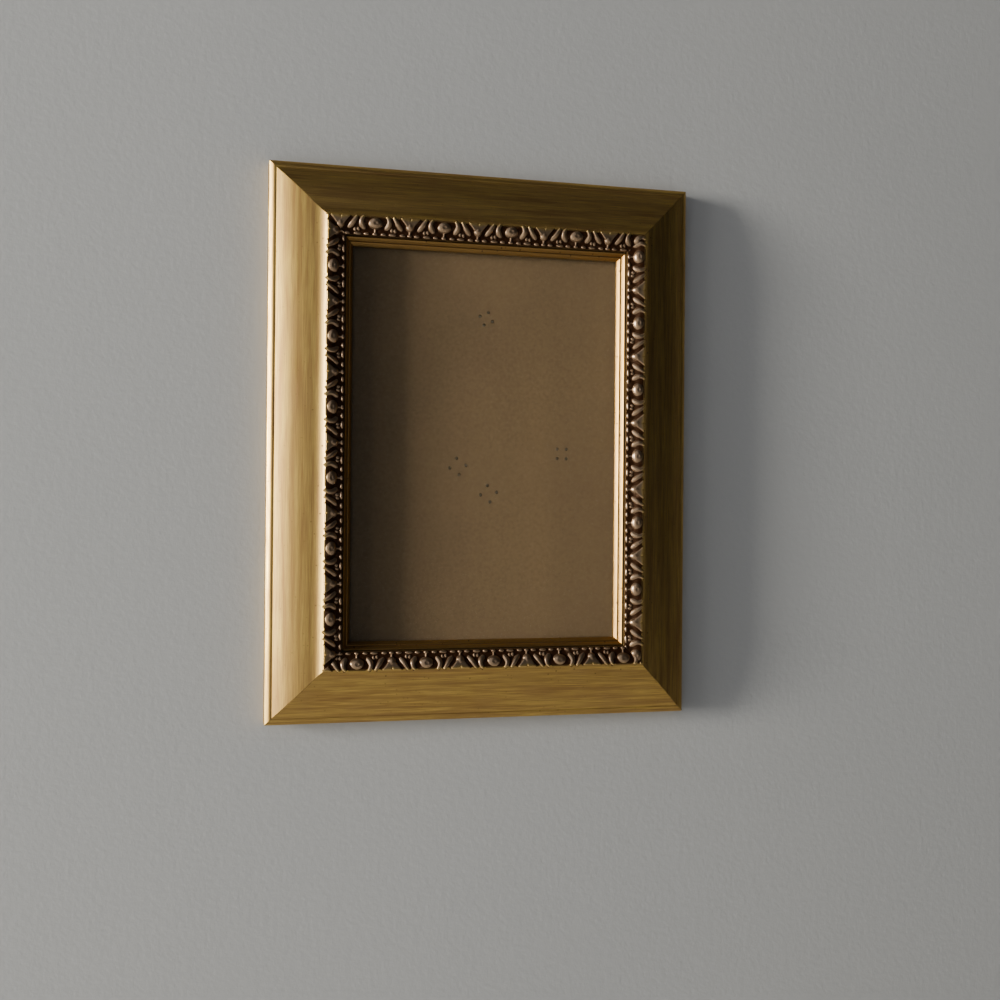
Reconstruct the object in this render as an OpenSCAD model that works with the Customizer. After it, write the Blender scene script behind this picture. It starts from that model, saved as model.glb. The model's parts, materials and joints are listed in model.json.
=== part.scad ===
// Gilded picture frame for a 13 x 18 cm picture, with glass, a hardboard back,
// an easel strut, two hanging rings and six turn buttons.
// X runs to the right as seen from the front, +Y runs towards the wall, Z is up.
// The origin is the centre of the bottom edge's flat side face.

/* [Picture and moulding] */
// Width of the picture that the frame takes
picture_w = 130; // [100:1:240]
// Height of the picture that the frame takes
picture_h = 180; // [160:1:300]
// Width of the moulding, seen from the front
rail_w = 35; // [33:0.5:45]
// How far the lip covers the picture on each side
lip_overlap = 6; // [4:0.5:8]
// Gap between the picture and the rebate's wall, on each side
rebate_fit = 0.5; // [0.2:0.1:1]
// Height of the moulding at its ridge, from the wall
rail_h = 18.2; // [17.5:0.1:22]
// Height of the flat outer side face
side_h = 7; // [5:0.5:8]
// Width of the rim that touches the wall
rim_w = 6; // [4:0.5:8]
// Depth of the relief behind the moulding, inside the rim
relief_h = 5; // [4.8:0.1:6]

/* [Moulding profile] */
// Radius of the round bead along the outer edge
edge_bead_r = 1.2; // [0.8:0.1:1.6]
// Width of the groove beside the outer bead
groove_w = 0.7; // [0.4:0.1:1]
// Rise of the slope's foot above the side face
slope_foot = 1; // [0.6:0.1:1.4]
// Rise of the slope in its hollow, below the ridge
cove_rise = 2.2; // [1:0.1:3]
// Width of the ridge's round top
ridge_w = 0.8; // [0.5:0.1:1.2]
// Radius of the two round lips beside the opening
lip_r = 0.9; // [0.6:0.05:1.1]
// Distance between the two lips, across the moulding
lip_pitch = 1.75; // [1.5:0.05:2.2]
// How much lower the inner lip lies
lip_step = 1.7; // [1:0.1:2]
// Height of the inner lip's centre above the rebate's shelf
lip_land = 1.5; // [1:0.1:2]

/* [Ornament] */
// Width of the ornament strip, bead row included
strip_w = 7; // [6:0.1:8]
// Gap between the strip and the outer lip
strip_gap = 0.2; // [0.1:0.05:0.4]
// Thickness of the strip's ground
ground_t = 0.7; // [0.5:0.1:1]
// Drop from the ridge to the strip's seat
seat_drop = 1.5; // [1.2:0.1:1.8]
// Fall of the seat towards the opening
seat_fall = 1.1; // [0.6:0.1:1.6]
// Length of one egg and leaf pattern
motif_pitch = 29.6; // [26:0.1:34]
// Radius of the egg
egg_r = 2.5; // [2:0.1:2.8]
// How deep the egg's centre lies under the ground's face
egg_sink = 1.4; // [1.2:0.1:1.8]
// Radius of the ridges on the shells and leaves
vein_r = 0.62; // [0.4:0.02:0.7]
// Radius of a bead in the bead row
bead_r = 0.82; // [0.6:0.02:0.9]
// Number of beads in one pattern
beads_per_motif = 10; // [8:1:12]
// Place of an egg along the top rail, to the right of its centre
phase_top = 8.9; // [-14:0.1:14]
// Place of an egg along the bottom rail, to the right of its centre
phase_bottom = 2.8; // [-14:0.1:14]
// Place of an egg along the left rail, above its centre
phase_left = 15; // [-15:0.1:15]
// Place of an egg along the right rail, above its centre
phase_right = -3.2; // [-14:0.1:14]

/* [Glass and back] */
// Thickness of the glass
glass_t = 2; // [1.5:0.1:2.5]
// Thickness of the backboard
board_t = 3; // [2.5:0.1:4]
// Depth of the backboard's rear face below the relief
board_fit = 0.2; // [0.1:0.05:0.4]

/* [Turn buttons] */
// Distance of the buttons on the long rails from the frame's middle
button_spread = 42; // [35:1:46]
// Distance from the rebate's wall to a button's screw
button_setback = 7; // [6:0.5:8]
// Length of a button from its screw to its tip
button_reach = 13; // [11:0.5:14]
// Radius of a button's round end
button_r = 4.5; // [3.5:0.1:5]
// Radius of a button's tip
button_tip_r = 2.6; // [2:0.1:3]
// Thickness of a button
button_t = 0.8; // [0.6:0.1:1]
// Radius of a screw's shank
screw_r = 1.5; // [1.2:0.1:1.8]
// Length of a screw's shank in the wood
screw_l = 7; // [5:0.5:8]
// Radius of a screw's head
screw_head_r = 3; // [2.4:0.1:3.4]
// Height of a screw's head
screw_head_t = 1.5; // [1:0.1:2]

/* [Easel strut] */
// Place of the strut's two rivets, to the right of the frame's centre
strut_x = -5.2; // [-8:0.1:-2]
// Place of the strut's two rivets, above the frame's centre
strut_z = -14.7; // [-20:0.1:-10]
// Distance between the strut's two rivets
strut_rivet_span = 18.1; // [17.5:0.1:20]
// Thickness of the strut
strut_t = 2.6; // [2:0.1:3]
// Width of the strut at its top
strut_top_w = 24; // [22:0.5:28]
// Width of the strut at its foot
strut_foot_w = 50; // [40:1:56]
// How much of the foot's corner is cut off
strut_tip_cut = 3; // [2:0.5:6]
// Gap between the strut's foot and the frame's rim
strut_foot_fit = 0.8; // [0.5:0.1:2]
// How far the strut opens, in degrees
strut_open = 32; // [25:1:36]

/* [Strut hinge] */
// Thickness of the hinge's sheet
leaf_t = 0.9; // [0.7:0.1:1.1]
// Length of the hinge along its pin
hinge_l = 28; // [27.5:0.5:32]
// Length of the strut leaf's knuckle along the pin
strut_knuckle_l = 11.4; // [8:0.2:12]
// Radius of the hinge's pin
pin_r = 1; // [0.8:0.05:1.2]
// Radial gap between the pin and a knuckle
pin_fit = 0.05; // [0.02:0.01:0.08]
// Gap between neighbouring knuckles
knuckle_gap = 0.3; // [0.2:0.05:0.5]
// Distance from the rivets' line to the pin
pin_drop = 8; // [7.6:0.1:10]
// Length of the board leaf above the rivets' line
board_leaf_l = 6; // [5:0.5:7]
// Length of the strut leaf below the pin
strut_leaf_l = 17; // [15:0.5:20]
// Width of the strut leaf
strut_leaf_w = 20; // [18:0.5:22]

/* [Rivets] */
// Radius of the circle of a strut rivet's four prongs
strut_prong_ring = 3.65; // [3.2:0.05:3.8]
// Radius of the circle of a hanger rivet's four prongs
hanger_prong_ring = 3; // [2.5:0.05:3.2]
// Radius of a prong
prong_r = 0.42; // [0.3:0.02:0.5]
// Width of the rivet head's margin outside its prongs
rivet_margin = 0.6; // [0.4:0.1:0.8]
// Thickness of a rivet's head
rivet_t = 0.7; // [0.5:0.1:0.8]
// Gap round a prong or a shank in its hole
rivet_fit = 0.05; // [0.02:0.01:0.08]
// Radius of the strut leaf's rivet shanks
leaf_rivet_r = 1.5; // [1.2:0.1:1.8]
// Radius of the strut leaf's rivet heads
leaf_rivet_head_r = 2.7; // [2.2:0.1:3]
// Distance between the strut leaf's rivets
leaf_rivet_span = 12; // [10:0.5:13]
// Turn of the upright hanger's prongs, in degrees
hanger_prong_turn = 20; // [0:1:89]
// Turn of the sideways hanger's prongs, in degrees
side_prong_turn = 45; // [0:1:89]

/* [Hanging rings] */
// Place of the upright hanger's rivet, to the right of the frame's centre
hanger_x = 0; // [-5:0.5:5]
// Distance from the backboard's top edge to the upright hanger's rivet
hanger_drop = 34; // [30:0.5:45]
// Distance from the backboard's right edge to the sideways hanger's rivet
side_hanger_in = 30; // [28:0.5:36]
// Place of the sideways hanger's rivet, above the frame's centre
side_hanger_z = -2.5; // [-5:0.5:0]
// Width of a hanger's strap
strap_w = 9; // [8:0.2:10]
// Thickness of a hanger's sheet
strap_t = 0.6; // [0.5:0.05:0.7]
// Length of the strap below its rivet
strap_tail = 5.5; // [4.5:0.1:6.5]
// Distance from the rivet to the ring's bar
ring_bar_up = 8; // [7:0.1:10]
// Radius of the ring's wire
ring_wire_r = 0.8; // [0.6:0.05:0.9]
// Radius of the ring's bow, to the middle of its wire
ring_bow_r = 8.5; // [8.2:0.1:10]
// Radial gap between the ring's bar and the strap's eye
ring_fit = 0.1; // [0.05:0.01:0.1]

/* [Corner nails] */
// Length of one leg of a corner nail
vnail_l = 5; // [4:0.5:6]
// Thickness of a corner nail's sheet
vnail_t = 0.7; // [0.5:0.1:0.9]
// Depth of a corner nail in the wood
vnail_depth = 5; // [4:0.5:5.5]
// Distance of the outer corner nail from the frame's outer edges
vnail_start = 10; // [9:0.5:12]
// Distance between the two nails of a corner
vnail_step = 8; // [7:0.5:9]

/* [Hidden] */
$fn = 48;

// One overrun for every cut
over = 1;

// Whole frame
outer_w = picture_w + 2 * (rail_w - lip_overlap);
outer_h = picture_h + 2 * (rail_w - lip_overlap);
rebate_u = rail_w - lip_overlap - rebate_fit;

// Heights above the wall
board_back_h = relief_h + board_fit;
board_front_h = board_back_h + board_t;
shelf_h = board_front_h + glass_t;
lip_in_h = shelf_h + lip_land;
lip_out_h = lip_in_h + lip_step;
seat_out_h = rail_h - seat_drop;
seat_in_h = seat_out_h - seat_fall;

// Places across the moulding, from its outer edge
lip_in_u = rail_w - lip_r;
lip_out_u = lip_in_u - lip_pitch;
strip_in_u = lip_out_u - lip_r - strip_gap;
strip_out_u = strip_in_u - strip_w;
ridge_u = strip_out_u - ridge_w;
slope_u = 2 * edge_bead_r + groove_w;
slope_h = side_h + slope_foot;
slope_rise = rail_h - cove_rise - slope_h;

// The slope swells from its foot and hollows out below the ridge
slope_steps = 20;
swell_power = 1.8;
cove_power = 12;
function slope_at(s) = slope_h + slope_rise * (1 - pow(1 - s, swell_power)) + cove_rise * pow(s, cove_power);
function slope_points() = [
    for (i = [0 : slope_steps]) let (s = i / slope_steps)
        [slope_u + s * (ridge_u - slope_u), slope_at(s)]
];
function arc_points(centre, r, from, to, steps) = [
    for (i = [0 : steps]) let (a = from + (to - from) * i / steps)
        centre + r * [cos(a), sin(a)]
];

// Ornament strip, in its own plane
strip_tilt = atan(seat_fall / strip_w);
strip_v = strip_w / cos(strip_tilt);
relief_room = 2 * egg_r;
egg_v_share = 0.39;
shell_r_share = 0.15;
shell_sweep = 105;
tail_v_share = 0.78;
tail_start_r_share = 0.75;
tail_end_r_share = 0.22;
leaf_shares = [
    [0.245, 0.12], [0.285, 0.07], [0.35, 0.35], [0.4, 0.7], [0.36, 0.74], [0.31, 0.5]
];
arrow_shares = [
    [0.4, 0.05], [0.455, 0.05], [0.5, 0.24], [0.545, 0.05], [0.6, 0.05],
    [0.525, 0.55], [0.515, 0.8], [0.485, 0.8], [0.475, 0.55]
];
bead_v = strip_v - bead_r - strip_gap / 2;
motif_count = ceil(outer_h / motif_pitch / 2) + 1;

// The strut points at the corner inside the rim, on the lower left
foot_u = rim_w + strut_foot_fit;
foot_run = [outer_w / 2 - foot_u + strut_x, outer_h / 2 - foot_u + strut_z];
strut_turn = atan2(foot_run[0], foot_run[1]);
strut_end = norm(foot_run) - strut_tip_cut;

// Hinge
knuckle_r = pin_r + pin_fit + leaf_t;
pin_lift = knuckle_r + pin_fit;
board_knuckle_l = (hinge_l - strut_knuckle_l) / 2 - knuckle_gap;
leaf_under = pin_lift + pin_r + pin_fit;
leaf_over = leaf_under + leaf_t;
heel_l = (leaf_under - pin_lift) * (1 + cos(strut_open)) / sin(strut_open);
strut_top = pin_drop + knuckle_r + knuckle_gap;
strut_under = leaf_under - strut_t;
leaf_rivet_drop_share = 0.58;
pin_head_r = pin_r + pin_fit + leaf_t / 3;
pin_head_t = leaf_t / 2;

// Hanging rings
eye_r = ring_wire_r + ring_fit + strap_t;
strap_over = 2 * strap_t;
strap_end_share = 0.6;
strap_end_r = strap_end_share * strap_w;

// Turn buttons
button_u = rebate_u - button_setback;
button_lift = 0.1;
button_fit = 0.1;
button_bore_r = screw_r + button_fit;
screw_top_share = 0.7;

// Y of a height above the wall
function y_of(h) = side_h / 2 - h;

module rail_profile() {
    polygon(concat(
        [[0, 0], [0, side_h]],
        arc_points([edge_bead_r, side_h], edge_bead_r, 180, 0, 12),
        slope_points(),
        arc_points([ridge_u + ridge_w / 2, rail_h - ridge_w / 2], ridge_w / 2, 120, 20, 4),
        [[strip_out_u, seat_out_h], [strip_in_u, seat_in_h], [strip_in_u, lip_out_h]],
        arc_points([lip_out_u, lip_out_h], lip_r, 180, 30, 8),
        arc_points([lip_in_u, lip_in_h], lip_r, 135, 0, 8),
        [[rail_w, shelf_h], [rebate_u, shelf_h], [rebate_u, relief_h], [rim_w, relief_h], [rim_w, 0]]
    ));
}

// A rail lies along X, with its outer edge at Z = 0 and the wall at Y = 0
module mitre_prism(len) {
    rotate([90, 0, 0])
        translate([0, 0, -over])
            linear_extrude(rail_h + relief_room)
                polygon([
                    [-len / 2, 0], [len / 2, 0],
                    [len / 2 - rail_w, rail_w], [-len / 2 + rail_w, rail_w]
                ]);
}

module vnail() {
    cube([vnail_l, vnail_t, vnail_depth]);
    cube([vnail_t, vnail_l, vnail_depth]);
}

module corner_vnails(len) {
    for (side = [0, 1], i = [0, 1])
        mirror([side, 0, 0])
            translate([-len / 2 + vnail_start + i * vnail_step, -relief_h, vnail_start + i * vnail_step])
                rotate([90, 0, 0])
                    vnail();
}

module rail(len, screw_places) {
    difference() {
        intersection() {
            translate([-len / 2, 0, 0])
                rotate([90, 0, 0])
                    rotate([90, 0, 90])
                        linear_extrude(len)
                            rail_profile();
            mitre_prism(len);
        }
        corner_vnails(len);
        for (place = screw_places)
            translate([place, -relief_h + over, button_u])
                rotate([90, 0, 0])
                    cylinder(r = screw_r + rivet_fit, h = screw_l + over + rivet_fit);
    }
}

module on_bottom() {
    translate([0, y_of(0), 0]) children();
}

module on_top() {
    translate([0, y_of(0), outer_h]) rotate([0, 180, 0]) children();
}

module on_left() {
    translate([-outer_w / 2, y_of(0), outer_h / 2]) rotate([0, 90, 0]) children();
}

module on_right() {
    translate([outer_w / 2, y_of(0), outer_h / 2]) rotate([0, -90, 0]) children();
}

// One egg with its shells, then a leaf on each side and an arrow between patterns
module egg() {
    translate([0, egg_v_share * strip_v, ground_t - egg_sink]) {
        sphere(r = egg_r);
        rotate([-90, 0, 0])
            cylinder(
                r1 = tail_start_r_share * egg_r, r2 = tail_end_r_share * egg_r + egg_sink / 2,
                h = (tail_v_share - egg_v_share) * strip_v
            );
    }
}

module shells() {
    for (side = [0, 180])
        translate([0, egg_v_share * strip_v, ground_t])
            rotate([0, 0, side - shell_sweep / 2])
                rotate_extrude(angle = shell_sweep)
                    translate([shell_r_share * motif_pitch, 0])
                        circle(r = vein_r, $fn = 24);
}

module leaf() {
    linear_extrude(ground_t + vein_r)
        polygon([for (share = leaf_shares) [share[0] * motif_pitch, share[1] * strip_v]]);
}

module arrow() {
    linear_extrude(ground_t + vein_r)
        polygon([for (share = arrow_shares) [share[0] * motif_pitch, share[1] * strip_v]]);
}

module motif() {
    egg();
    shells();
    for (side = [0, 1])
        mirror([side, 0, 0])
            leaf();
    arrow();
    for (i = [0 : beads_per_motif - 1])
        translate([i * motif_pitch / beads_per_motif, bead_v, ground_t])
            sphere(r = bead_r, $fn = 24);
}

module ornament(len, phase) {
    intersection() {
        translate([0, -seat_out_h, strip_out_u])
            rotate([90 - strip_tilt, 0, 0])
                intersection() {
                    union() {
                        translate([-len / 2, 0, 0])
                            cube([len, strip_v, ground_t]);
                        for (i = [-motif_count : motif_count])
                            if (abs(i * motif_pitch + phase) < len / 2 + motif_pitch / 2)
                                translate([i * motif_pitch + phase, 0, 0])
                                    motif();
                    }
                    translate([-len / 2, 0, 0])
                        cube([len, strip_v, relief_room]);
                }
        mitre_prism(len);
    }
}

module rail_top() {
    color("darkgoldenrod") on_top() rail(outer_w, [0]);
}

module rail_bottom() {
    color("darkgoldenrod") on_bottom() rail(outer_w, [0]);
}

module rail_left() {
    color("goldenrod") on_left() rail(outer_h, [-button_spread, button_spread]);
}

module rail_right() {
    color("goldenrod") on_right() rail(outer_h, [-button_spread, button_spread]);
}

module ornament_top() {
    color("peru") on_top() ornament(outer_w, -phase_top);
}

module ornament_bottom() {
    color("peru") on_bottom() ornament(outer_w, phase_bottom);
}

module ornament_left() {
    color("peru") on_left() ornament(outer_h, -phase_left);
}

module ornament_right() {
    color("peru") on_right() ornament(outer_h, phase_right);
}

module corner_nails() {
    color("gray") {
        on_bottom() corner_vnails(outer_w);
        on_top() corner_vnails(outer_w);
    }
}

module glass() {
    color("lightcyan", 0.3)
        translate([-picture_w / 2, y_of(shelf_h), (outer_h - picture_h) / 2])
            cube([picture_w, glass_t, picture_h]);
}

// Hardware stands on the backboard's rear face: local X across, Y down, Z out of the back
module on_board(x, z, turn) {
    translate([x, y_of(board_back_h), outer_h / 2 + z])
        rotate([0, turn, 0])
            rotate([-90, 0, 0])
                children();
}

module at_strut() {
    on_board(strut_x, strut_z, strut_turn) children();
}

module at_hanger() {
    on_board(hanger_x, picture_h / 2 - hanger_drop, 0) children();
}

module at_side_hanger() {
    on_board(picture_w / 2 - side_hanger_in, side_hanger_z, 90) children();
}

module at_strut_rivets() {
    for (side = [-1, 1])
        translate([side * strut_rivet_span / 2, 0, 0])
            rotate([0, 0, strut_turn])
                children();
}

// Four prongs in a circle, from below the backboard's rear face to above it
module prongs(ring, r, below, above, turn) {
    for (i = [0 : 3])
        rotate([0, 0, turn + i * 90])
            translate([ring, 0, -below])
                cylinder(r = r, h = below + above, $fn = 24);
}

module prong_holes(ring, turn) {
    prongs(ring, prong_r + rivet_fit, board_t + over, relief_h, turn);
}

module prong_rivet(ring, seat, turn) {
    translate([0, 0, seat])
        cylinder(r = ring + prong_r + rivet_margin, h = rivet_t);
    prongs(ring, prong_r, board_t, seat, turn);
}

module backboard() {
    color("peru")
        difference() {
            translate([-picture_w / 2, y_of(board_front_h), (outer_h - picture_h) / 2])
                cube([picture_w, board_t, picture_h]);
            at_strut() at_strut_rivets() prong_holes(strut_prong_ring, 0);
            at_hanger() prong_holes(hanger_prong_ring, hanger_prong_turn);
            at_side_hanger() prong_holes(hanger_prong_ring, side_prong_turn);
        }
}

module board_rivets() {
    color("silver") {
        at_strut() at_strut_rivets() prong_rivet(strut_prong_ring, leaf_t, 0);
        at_hanger() prong_rivet(hanger_prong_ring, strap_over, hanger_prong_turn);
        at_side_hanger() prong_rivet(hanger_prong_ring, strap_over, side_prong_turn);
    }
}

// Cylinder along local X, centred
module bar(r, len) {
    translate([-len / 2, 0, 0])
        rotate([0, 90, 0])
            cylinder(r = r, h = len);
}

module pin_line() {
    translate([0, pin_drop, pin_lift]) children();
}

module hinge_board_leaf() {
    color("silver") at_strut()
        difference() {
            union() {
                translate([-hinge_l / 2, -board_leaf_l, 0])
                    cube([hinge_l, board_leaf_l + pin_drop, leaf_t]);
                pin_line() bar(knuckle_r, hinge_l);
            }
            translate([-hinge_l / 2 + board_knuckle_l, pin_drop - knuckle_r - knuckle_gap, -over])
                cube([
                    hinge_l - 2 * board_knuckle_l,
                    2 * (knuckle_r + knuckle_gap),
                    pin_lift + knuckle_r + 2 * over
                ]);
            pin_line() bar(pin_r + pin_fit, hinge_l + 2 * over);
            at_strut_rivets() prong_holes(strut_prong_ring, 0);
        }
}

module hinge_strut_leaf() {
    color("silver") at_strut()
        difference() {
            union() {
                pin_line() bar(knuckle_r, strut_knuckle_l);
                translate([-strut_knuckle_l / 2, pin_drop - heel_l, leaf_under])
                    cube([strut_knuckle_l, heel_l + strut_leaf_l, leaf_t]);
                translate([-strut_leaf_w / 2, strut_top, leaf_under])
                    cube([strut_leaf_w, pin_drop + strut_leaf_l - strut_top, leaf_t]);
            }
            pin_line() bar(pin_r + pin_fit, hinge_l);
            at_leaf_rivets() translate([0, 0, leaf_under - over])
                cylinder(r = leaf_rivet_r + rivet_fit, h = leaf_t + 2 * over);
        }
}

module hinge_pin() {
    color("gray") at_strut() pin_line() {
        bar(pin_r, hinge_l + 2 * pin_fit + pin_head_t);
        for (side = [-1, 1])
            translate([side * (hinge_l / 2 + pin_fit + pin_head_t / 2), 0, 0])
                bar(pin_head_r, pin_head_t);
    }
}

module at_leaf_rivets() {
    for (side = [-1, 1])
        translate([side * leaf_rivet_span / 2, pin_drop + leaf_rivet_drop_share * strut_leaf_l, 0])
            children();
}

// The strut flares towards its foot, whose two edges follow the frame's bottom and left edges
module strut() {
    color("saddlebrown")
        difference() {
            intersection() {
                at_strut() translate([0, 0, strut_under])
                    linear_extrude(strut_t)
                        polygon([
                            [-strut_top_w / 2, strut_top], [strut_top_w / 2, strut_top],
                            [strut_foot_w / 2, strut_end],
                            [-strut_foot_w / 2, strut_end]
                        ]);
                translate([-outer_w / 2 + foot_u, y_of(board_back_h), foot_u])
                    cube([outer_w, relief_h, outer_h]);
            }
            at_strut() at_leaf_rivets() translate([0, 0, -over])
                cylinder(r = leaf_rivet_r + rivet_fit, h = leaf_over + over);
        }
}

module strut_rivets() {
    color("silver") at_strut() at_leaf_rivets() {
        translate([0, 0, leaf_over])
            cylinder(r = leaf_rivet_head_r, h = rivet_t);
        translate([0, 0, strut_under])
            cylinder(r = leaf_rivet_r, h = leaf_over - strut_under);
        translate([0, 0, strut_under / 2])
            cylinder(r = leaf_rivet_head_r, h = strut_under / 2);
    }
}

module ring_line() {
    translate([0, -ring_bar_up, eye_r]) children();
}

module hanger(prong_turn) {
    difference() {
        union() {
            translate([-strap_w / 2, -ring_bar_up, 0])
                cube([strap_w, ring_bar_up, strap_over]);
            intersection() {
                translate([-strap_w / 2, 0, 0])
                    cube([strap_w, strap_tail, strap_over]);
                translate([0, strap_tail - strap_end_r, 0])
                    cylinder(r = strap_end_r, h = strap_over);
            }
            ring_line() bar(eye_r, strap_w);
        }
        ring_line() bar(ring_wire_r + ring_fit, strap_w + 2 * over);
        prong_holes(hanger_prong_ring, prong_turn);
    }
}

module ring() {
    ring_line() {
        bar(ring_wire_r, 2 * ring_bow_r);
        for (side = [-1, 1])
            translate([side * ring_bow_r, 0, 0])
                sphere(r = ring_wire_r + ring_fit / 2);
        rotate([0, 0, 180])
            rotate_extrude(angle = 180)
                translate([ring_bow_r, 0])
                    circle(r = ring_wire_r);
    }
}

module hanger_upright() {
    color("gold") at_hanger() hanger(hanger_prong_turn);
}

module hanger_sideways() {
    color("gold") at_side_hanger() hanger(side_prong_turn);
}

module ring_upright() {
    color("gold") at_hanger() ring();
}

module ring_sideways() {
    color("gold") at_side_hanger() ring();
}

// Buttons lie on the relief of a rail: local X along the rail, Y towards the opening, Z out of the back
module on_relief(place) {
    translate([place, -relief_h, button_u])
        rotate([90, 0, 0])
            mirror([0, 0, 1])
                children();
}

module button(place) {
    on_relief(place) translate([0, 0, button_lift])
        difference() {
            union() {
                cylinder(r = button_r, h = button_t);
                translate([0, button_reach - button_tip_r, 0])
                    cylinder(r = button_tip_r, h = button_t);
                linear_extrude(button_t)
                    polygon([
                        [-button_r, 0], [button_r, 0],
                        [button_tip_r, button_reach - button_tip_r],
                        [-button_tip_r, button_reach - button_tip_r]
                    ]);
            }
            translate([0, 0, -over])
                cylinder(r = button_bore_r, h = button_t + 2 * over);
        }
}

module screw(place) {
    on_relief(place) {
        translate([0, 0, -screw_l])
            cylinder(r = screw_r, h = screw_l + button_t + 2 * button_lift);
        translate([0, 0, button_t + 2 * button_lift])
            cylinder(r1 = screw_head_r, r2 = screw_top_share * screw_head_r, h = screw_head_t);
    }
}

module button_top() {
    color("gold") on_top() button(0);
}

module button_bottom() {
    color("gold") on_bottom() button(0);
}

module button_left_upper() {
    color("gold") on_left() button(-button_spread);
}

module button_left_lower() {
    color("gold") on_left() button(button_spread);
}

module button_right_upper() {
    color("gold") on_right() button(button_spread);
}

module button_right_lower() {
    color("gold") on_right() button(-button_spread);
}

module button_screws() {
    color("gold") {
        on_top() screw(0);
        on_bottom() screw(0);
        for (place = [-button_spread, button_spread]) {
            on_left() screw(place);
            on_right() screw(place);
        }
    }
}

rail_top();
rail_bottom();
rail_left();
rail_right();
ornament_top();
ornament_bottom();
ornament_left();
ornament_right();
glass();
backboard();
corner_nails();
hinge_board_leaf();
hinge_strut_leaf();
hinge_pin();
strut();
board_rivets();
strut_rivets();
hanger_upright();
ring_upright();
hanger_sideways();
ring_sideways();
button_top();
button_bottom();
button_left_upper();
button_left_lower();
button_right_upper();
button_right_lower();
button_screws();
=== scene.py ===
"""Looks of the gilded picture frame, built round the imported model."""
import json
import math

import bpy
from mathutils import Matrix, Vector

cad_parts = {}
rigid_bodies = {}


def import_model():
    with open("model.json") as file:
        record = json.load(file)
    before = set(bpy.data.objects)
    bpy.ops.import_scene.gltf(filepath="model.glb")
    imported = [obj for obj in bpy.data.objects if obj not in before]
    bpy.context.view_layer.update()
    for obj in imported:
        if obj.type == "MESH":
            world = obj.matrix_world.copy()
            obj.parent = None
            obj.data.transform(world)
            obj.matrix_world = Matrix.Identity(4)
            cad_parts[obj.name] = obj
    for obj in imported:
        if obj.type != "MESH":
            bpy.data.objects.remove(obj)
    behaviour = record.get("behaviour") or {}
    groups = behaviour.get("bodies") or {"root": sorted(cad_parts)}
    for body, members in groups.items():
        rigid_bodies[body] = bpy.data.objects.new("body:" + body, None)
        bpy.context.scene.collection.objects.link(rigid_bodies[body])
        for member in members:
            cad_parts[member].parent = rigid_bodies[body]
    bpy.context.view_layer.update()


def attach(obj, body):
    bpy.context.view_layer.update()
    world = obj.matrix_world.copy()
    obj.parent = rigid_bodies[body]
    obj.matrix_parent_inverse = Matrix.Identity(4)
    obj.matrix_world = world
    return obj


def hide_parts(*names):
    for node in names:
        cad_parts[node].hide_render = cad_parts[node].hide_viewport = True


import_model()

MM = 0.001

# Sizes of the model, in millimetres
OUTER_W, OUTER_H = 188.0, 238.0
RAIL_W, RAIL_H = 35.0, 18.2
SIDE_H = 7.0
WALL_Y = SIDE_H / 2
RIM_W, RELIEF_H = 6.0, 5.0
EDGE_BEAD_R, GROOVE_W = 1.2, 0.7
SLOPE_FOOT, FOOT_LIFT, SLOPE_SWELL = 1.0, 0.3, 1.8
COVE_RISE, COVE_SHARE, COVE_HOLLOW = 2.7, 0.75, 2.2
RIDGE_W, RIDGE_SINK, RIDGE_FROM, RIDGE_TO = 0.8, 0.85, 142, 10
LIP_GROOVE_U, LIP_EDGE_T = 33.36, 0.3
SLOPE_STEPS, RIDGE_STEPS = 36, 10
STRIP_OUT_U, STRIP_IN_U = 24.25, 31.25
SEAT_OUT_H, SEAT_IN_H = 16.7, 15.6
REBATE_U, SHELF_H = 28.5, 10.2
RIDGE_U = STRIP_OUT_U - RIDGE_W
SLOPE_U = 2 * EDGE_BEAD_R + GROOVE_W
GROOVE_U = SLOPE_U - GROOVE_W / 2
MITRE_GAP, MITRE_BEVEL, RIM_BEVEL = 0.04, 0.12, 0.3
SIDES = (("top", OUTER_W), ("bottom", OUTER_W), ("left", OUTER_H), ("right", OUTER_H))

# Closeness of points that are one, how far a cutter reaches past its piece, and radius of each soft edge
TOUCH, SEAM, SPIN_SEAM, CUT_NEAR = 0.001, 0.01, 0.0005, 0.00001
PAST = 1.0
ROUND = {
    "glass": 0.15, "board": 0.2, "strut": 0.35, "hinge": 0.12, "rivet": 0.06, "strap": 0.1, "button": 0.2,
    "screw": 0.07,
}

# Round parts of the moulding: distance from the outer edge, height above the wall
EDGE_ROLL = [
    (0.0, 6.7), (0.08, 6.86), (0.35, 7.12), (0.75, 7.45), (1.15, 7.76), (1.5, 7.99), (1.8, 8.15),
    (2.05, 8.24), (2.3, 8.29), (2.5, 8.3), (2.62, 8.29), (2.7, 8.265), (2.78, 8.245), (2.88, 8.25),
]
LIPS = [
    (31.4, 13.55), (31.5, 13.95), (31.68, 14.2), (31.9, 14.3), (32.12, 14.24), (32.36, 14.02),
    (32.62, 13.7), (32.86, 13.36), (33.06, 13.02), (33.18, 12.74), (33.25, 12.5), (33.33, 12.4),
    (33.42, 12.42), (33.52, 12.52), (33.66, 12.58), (33.84, 12.5), (34.06, 12.28), (34.32, 11.96),
    (34.58, 11.6), (34.8, 11.22), (34.93, 10.85),
]

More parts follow.
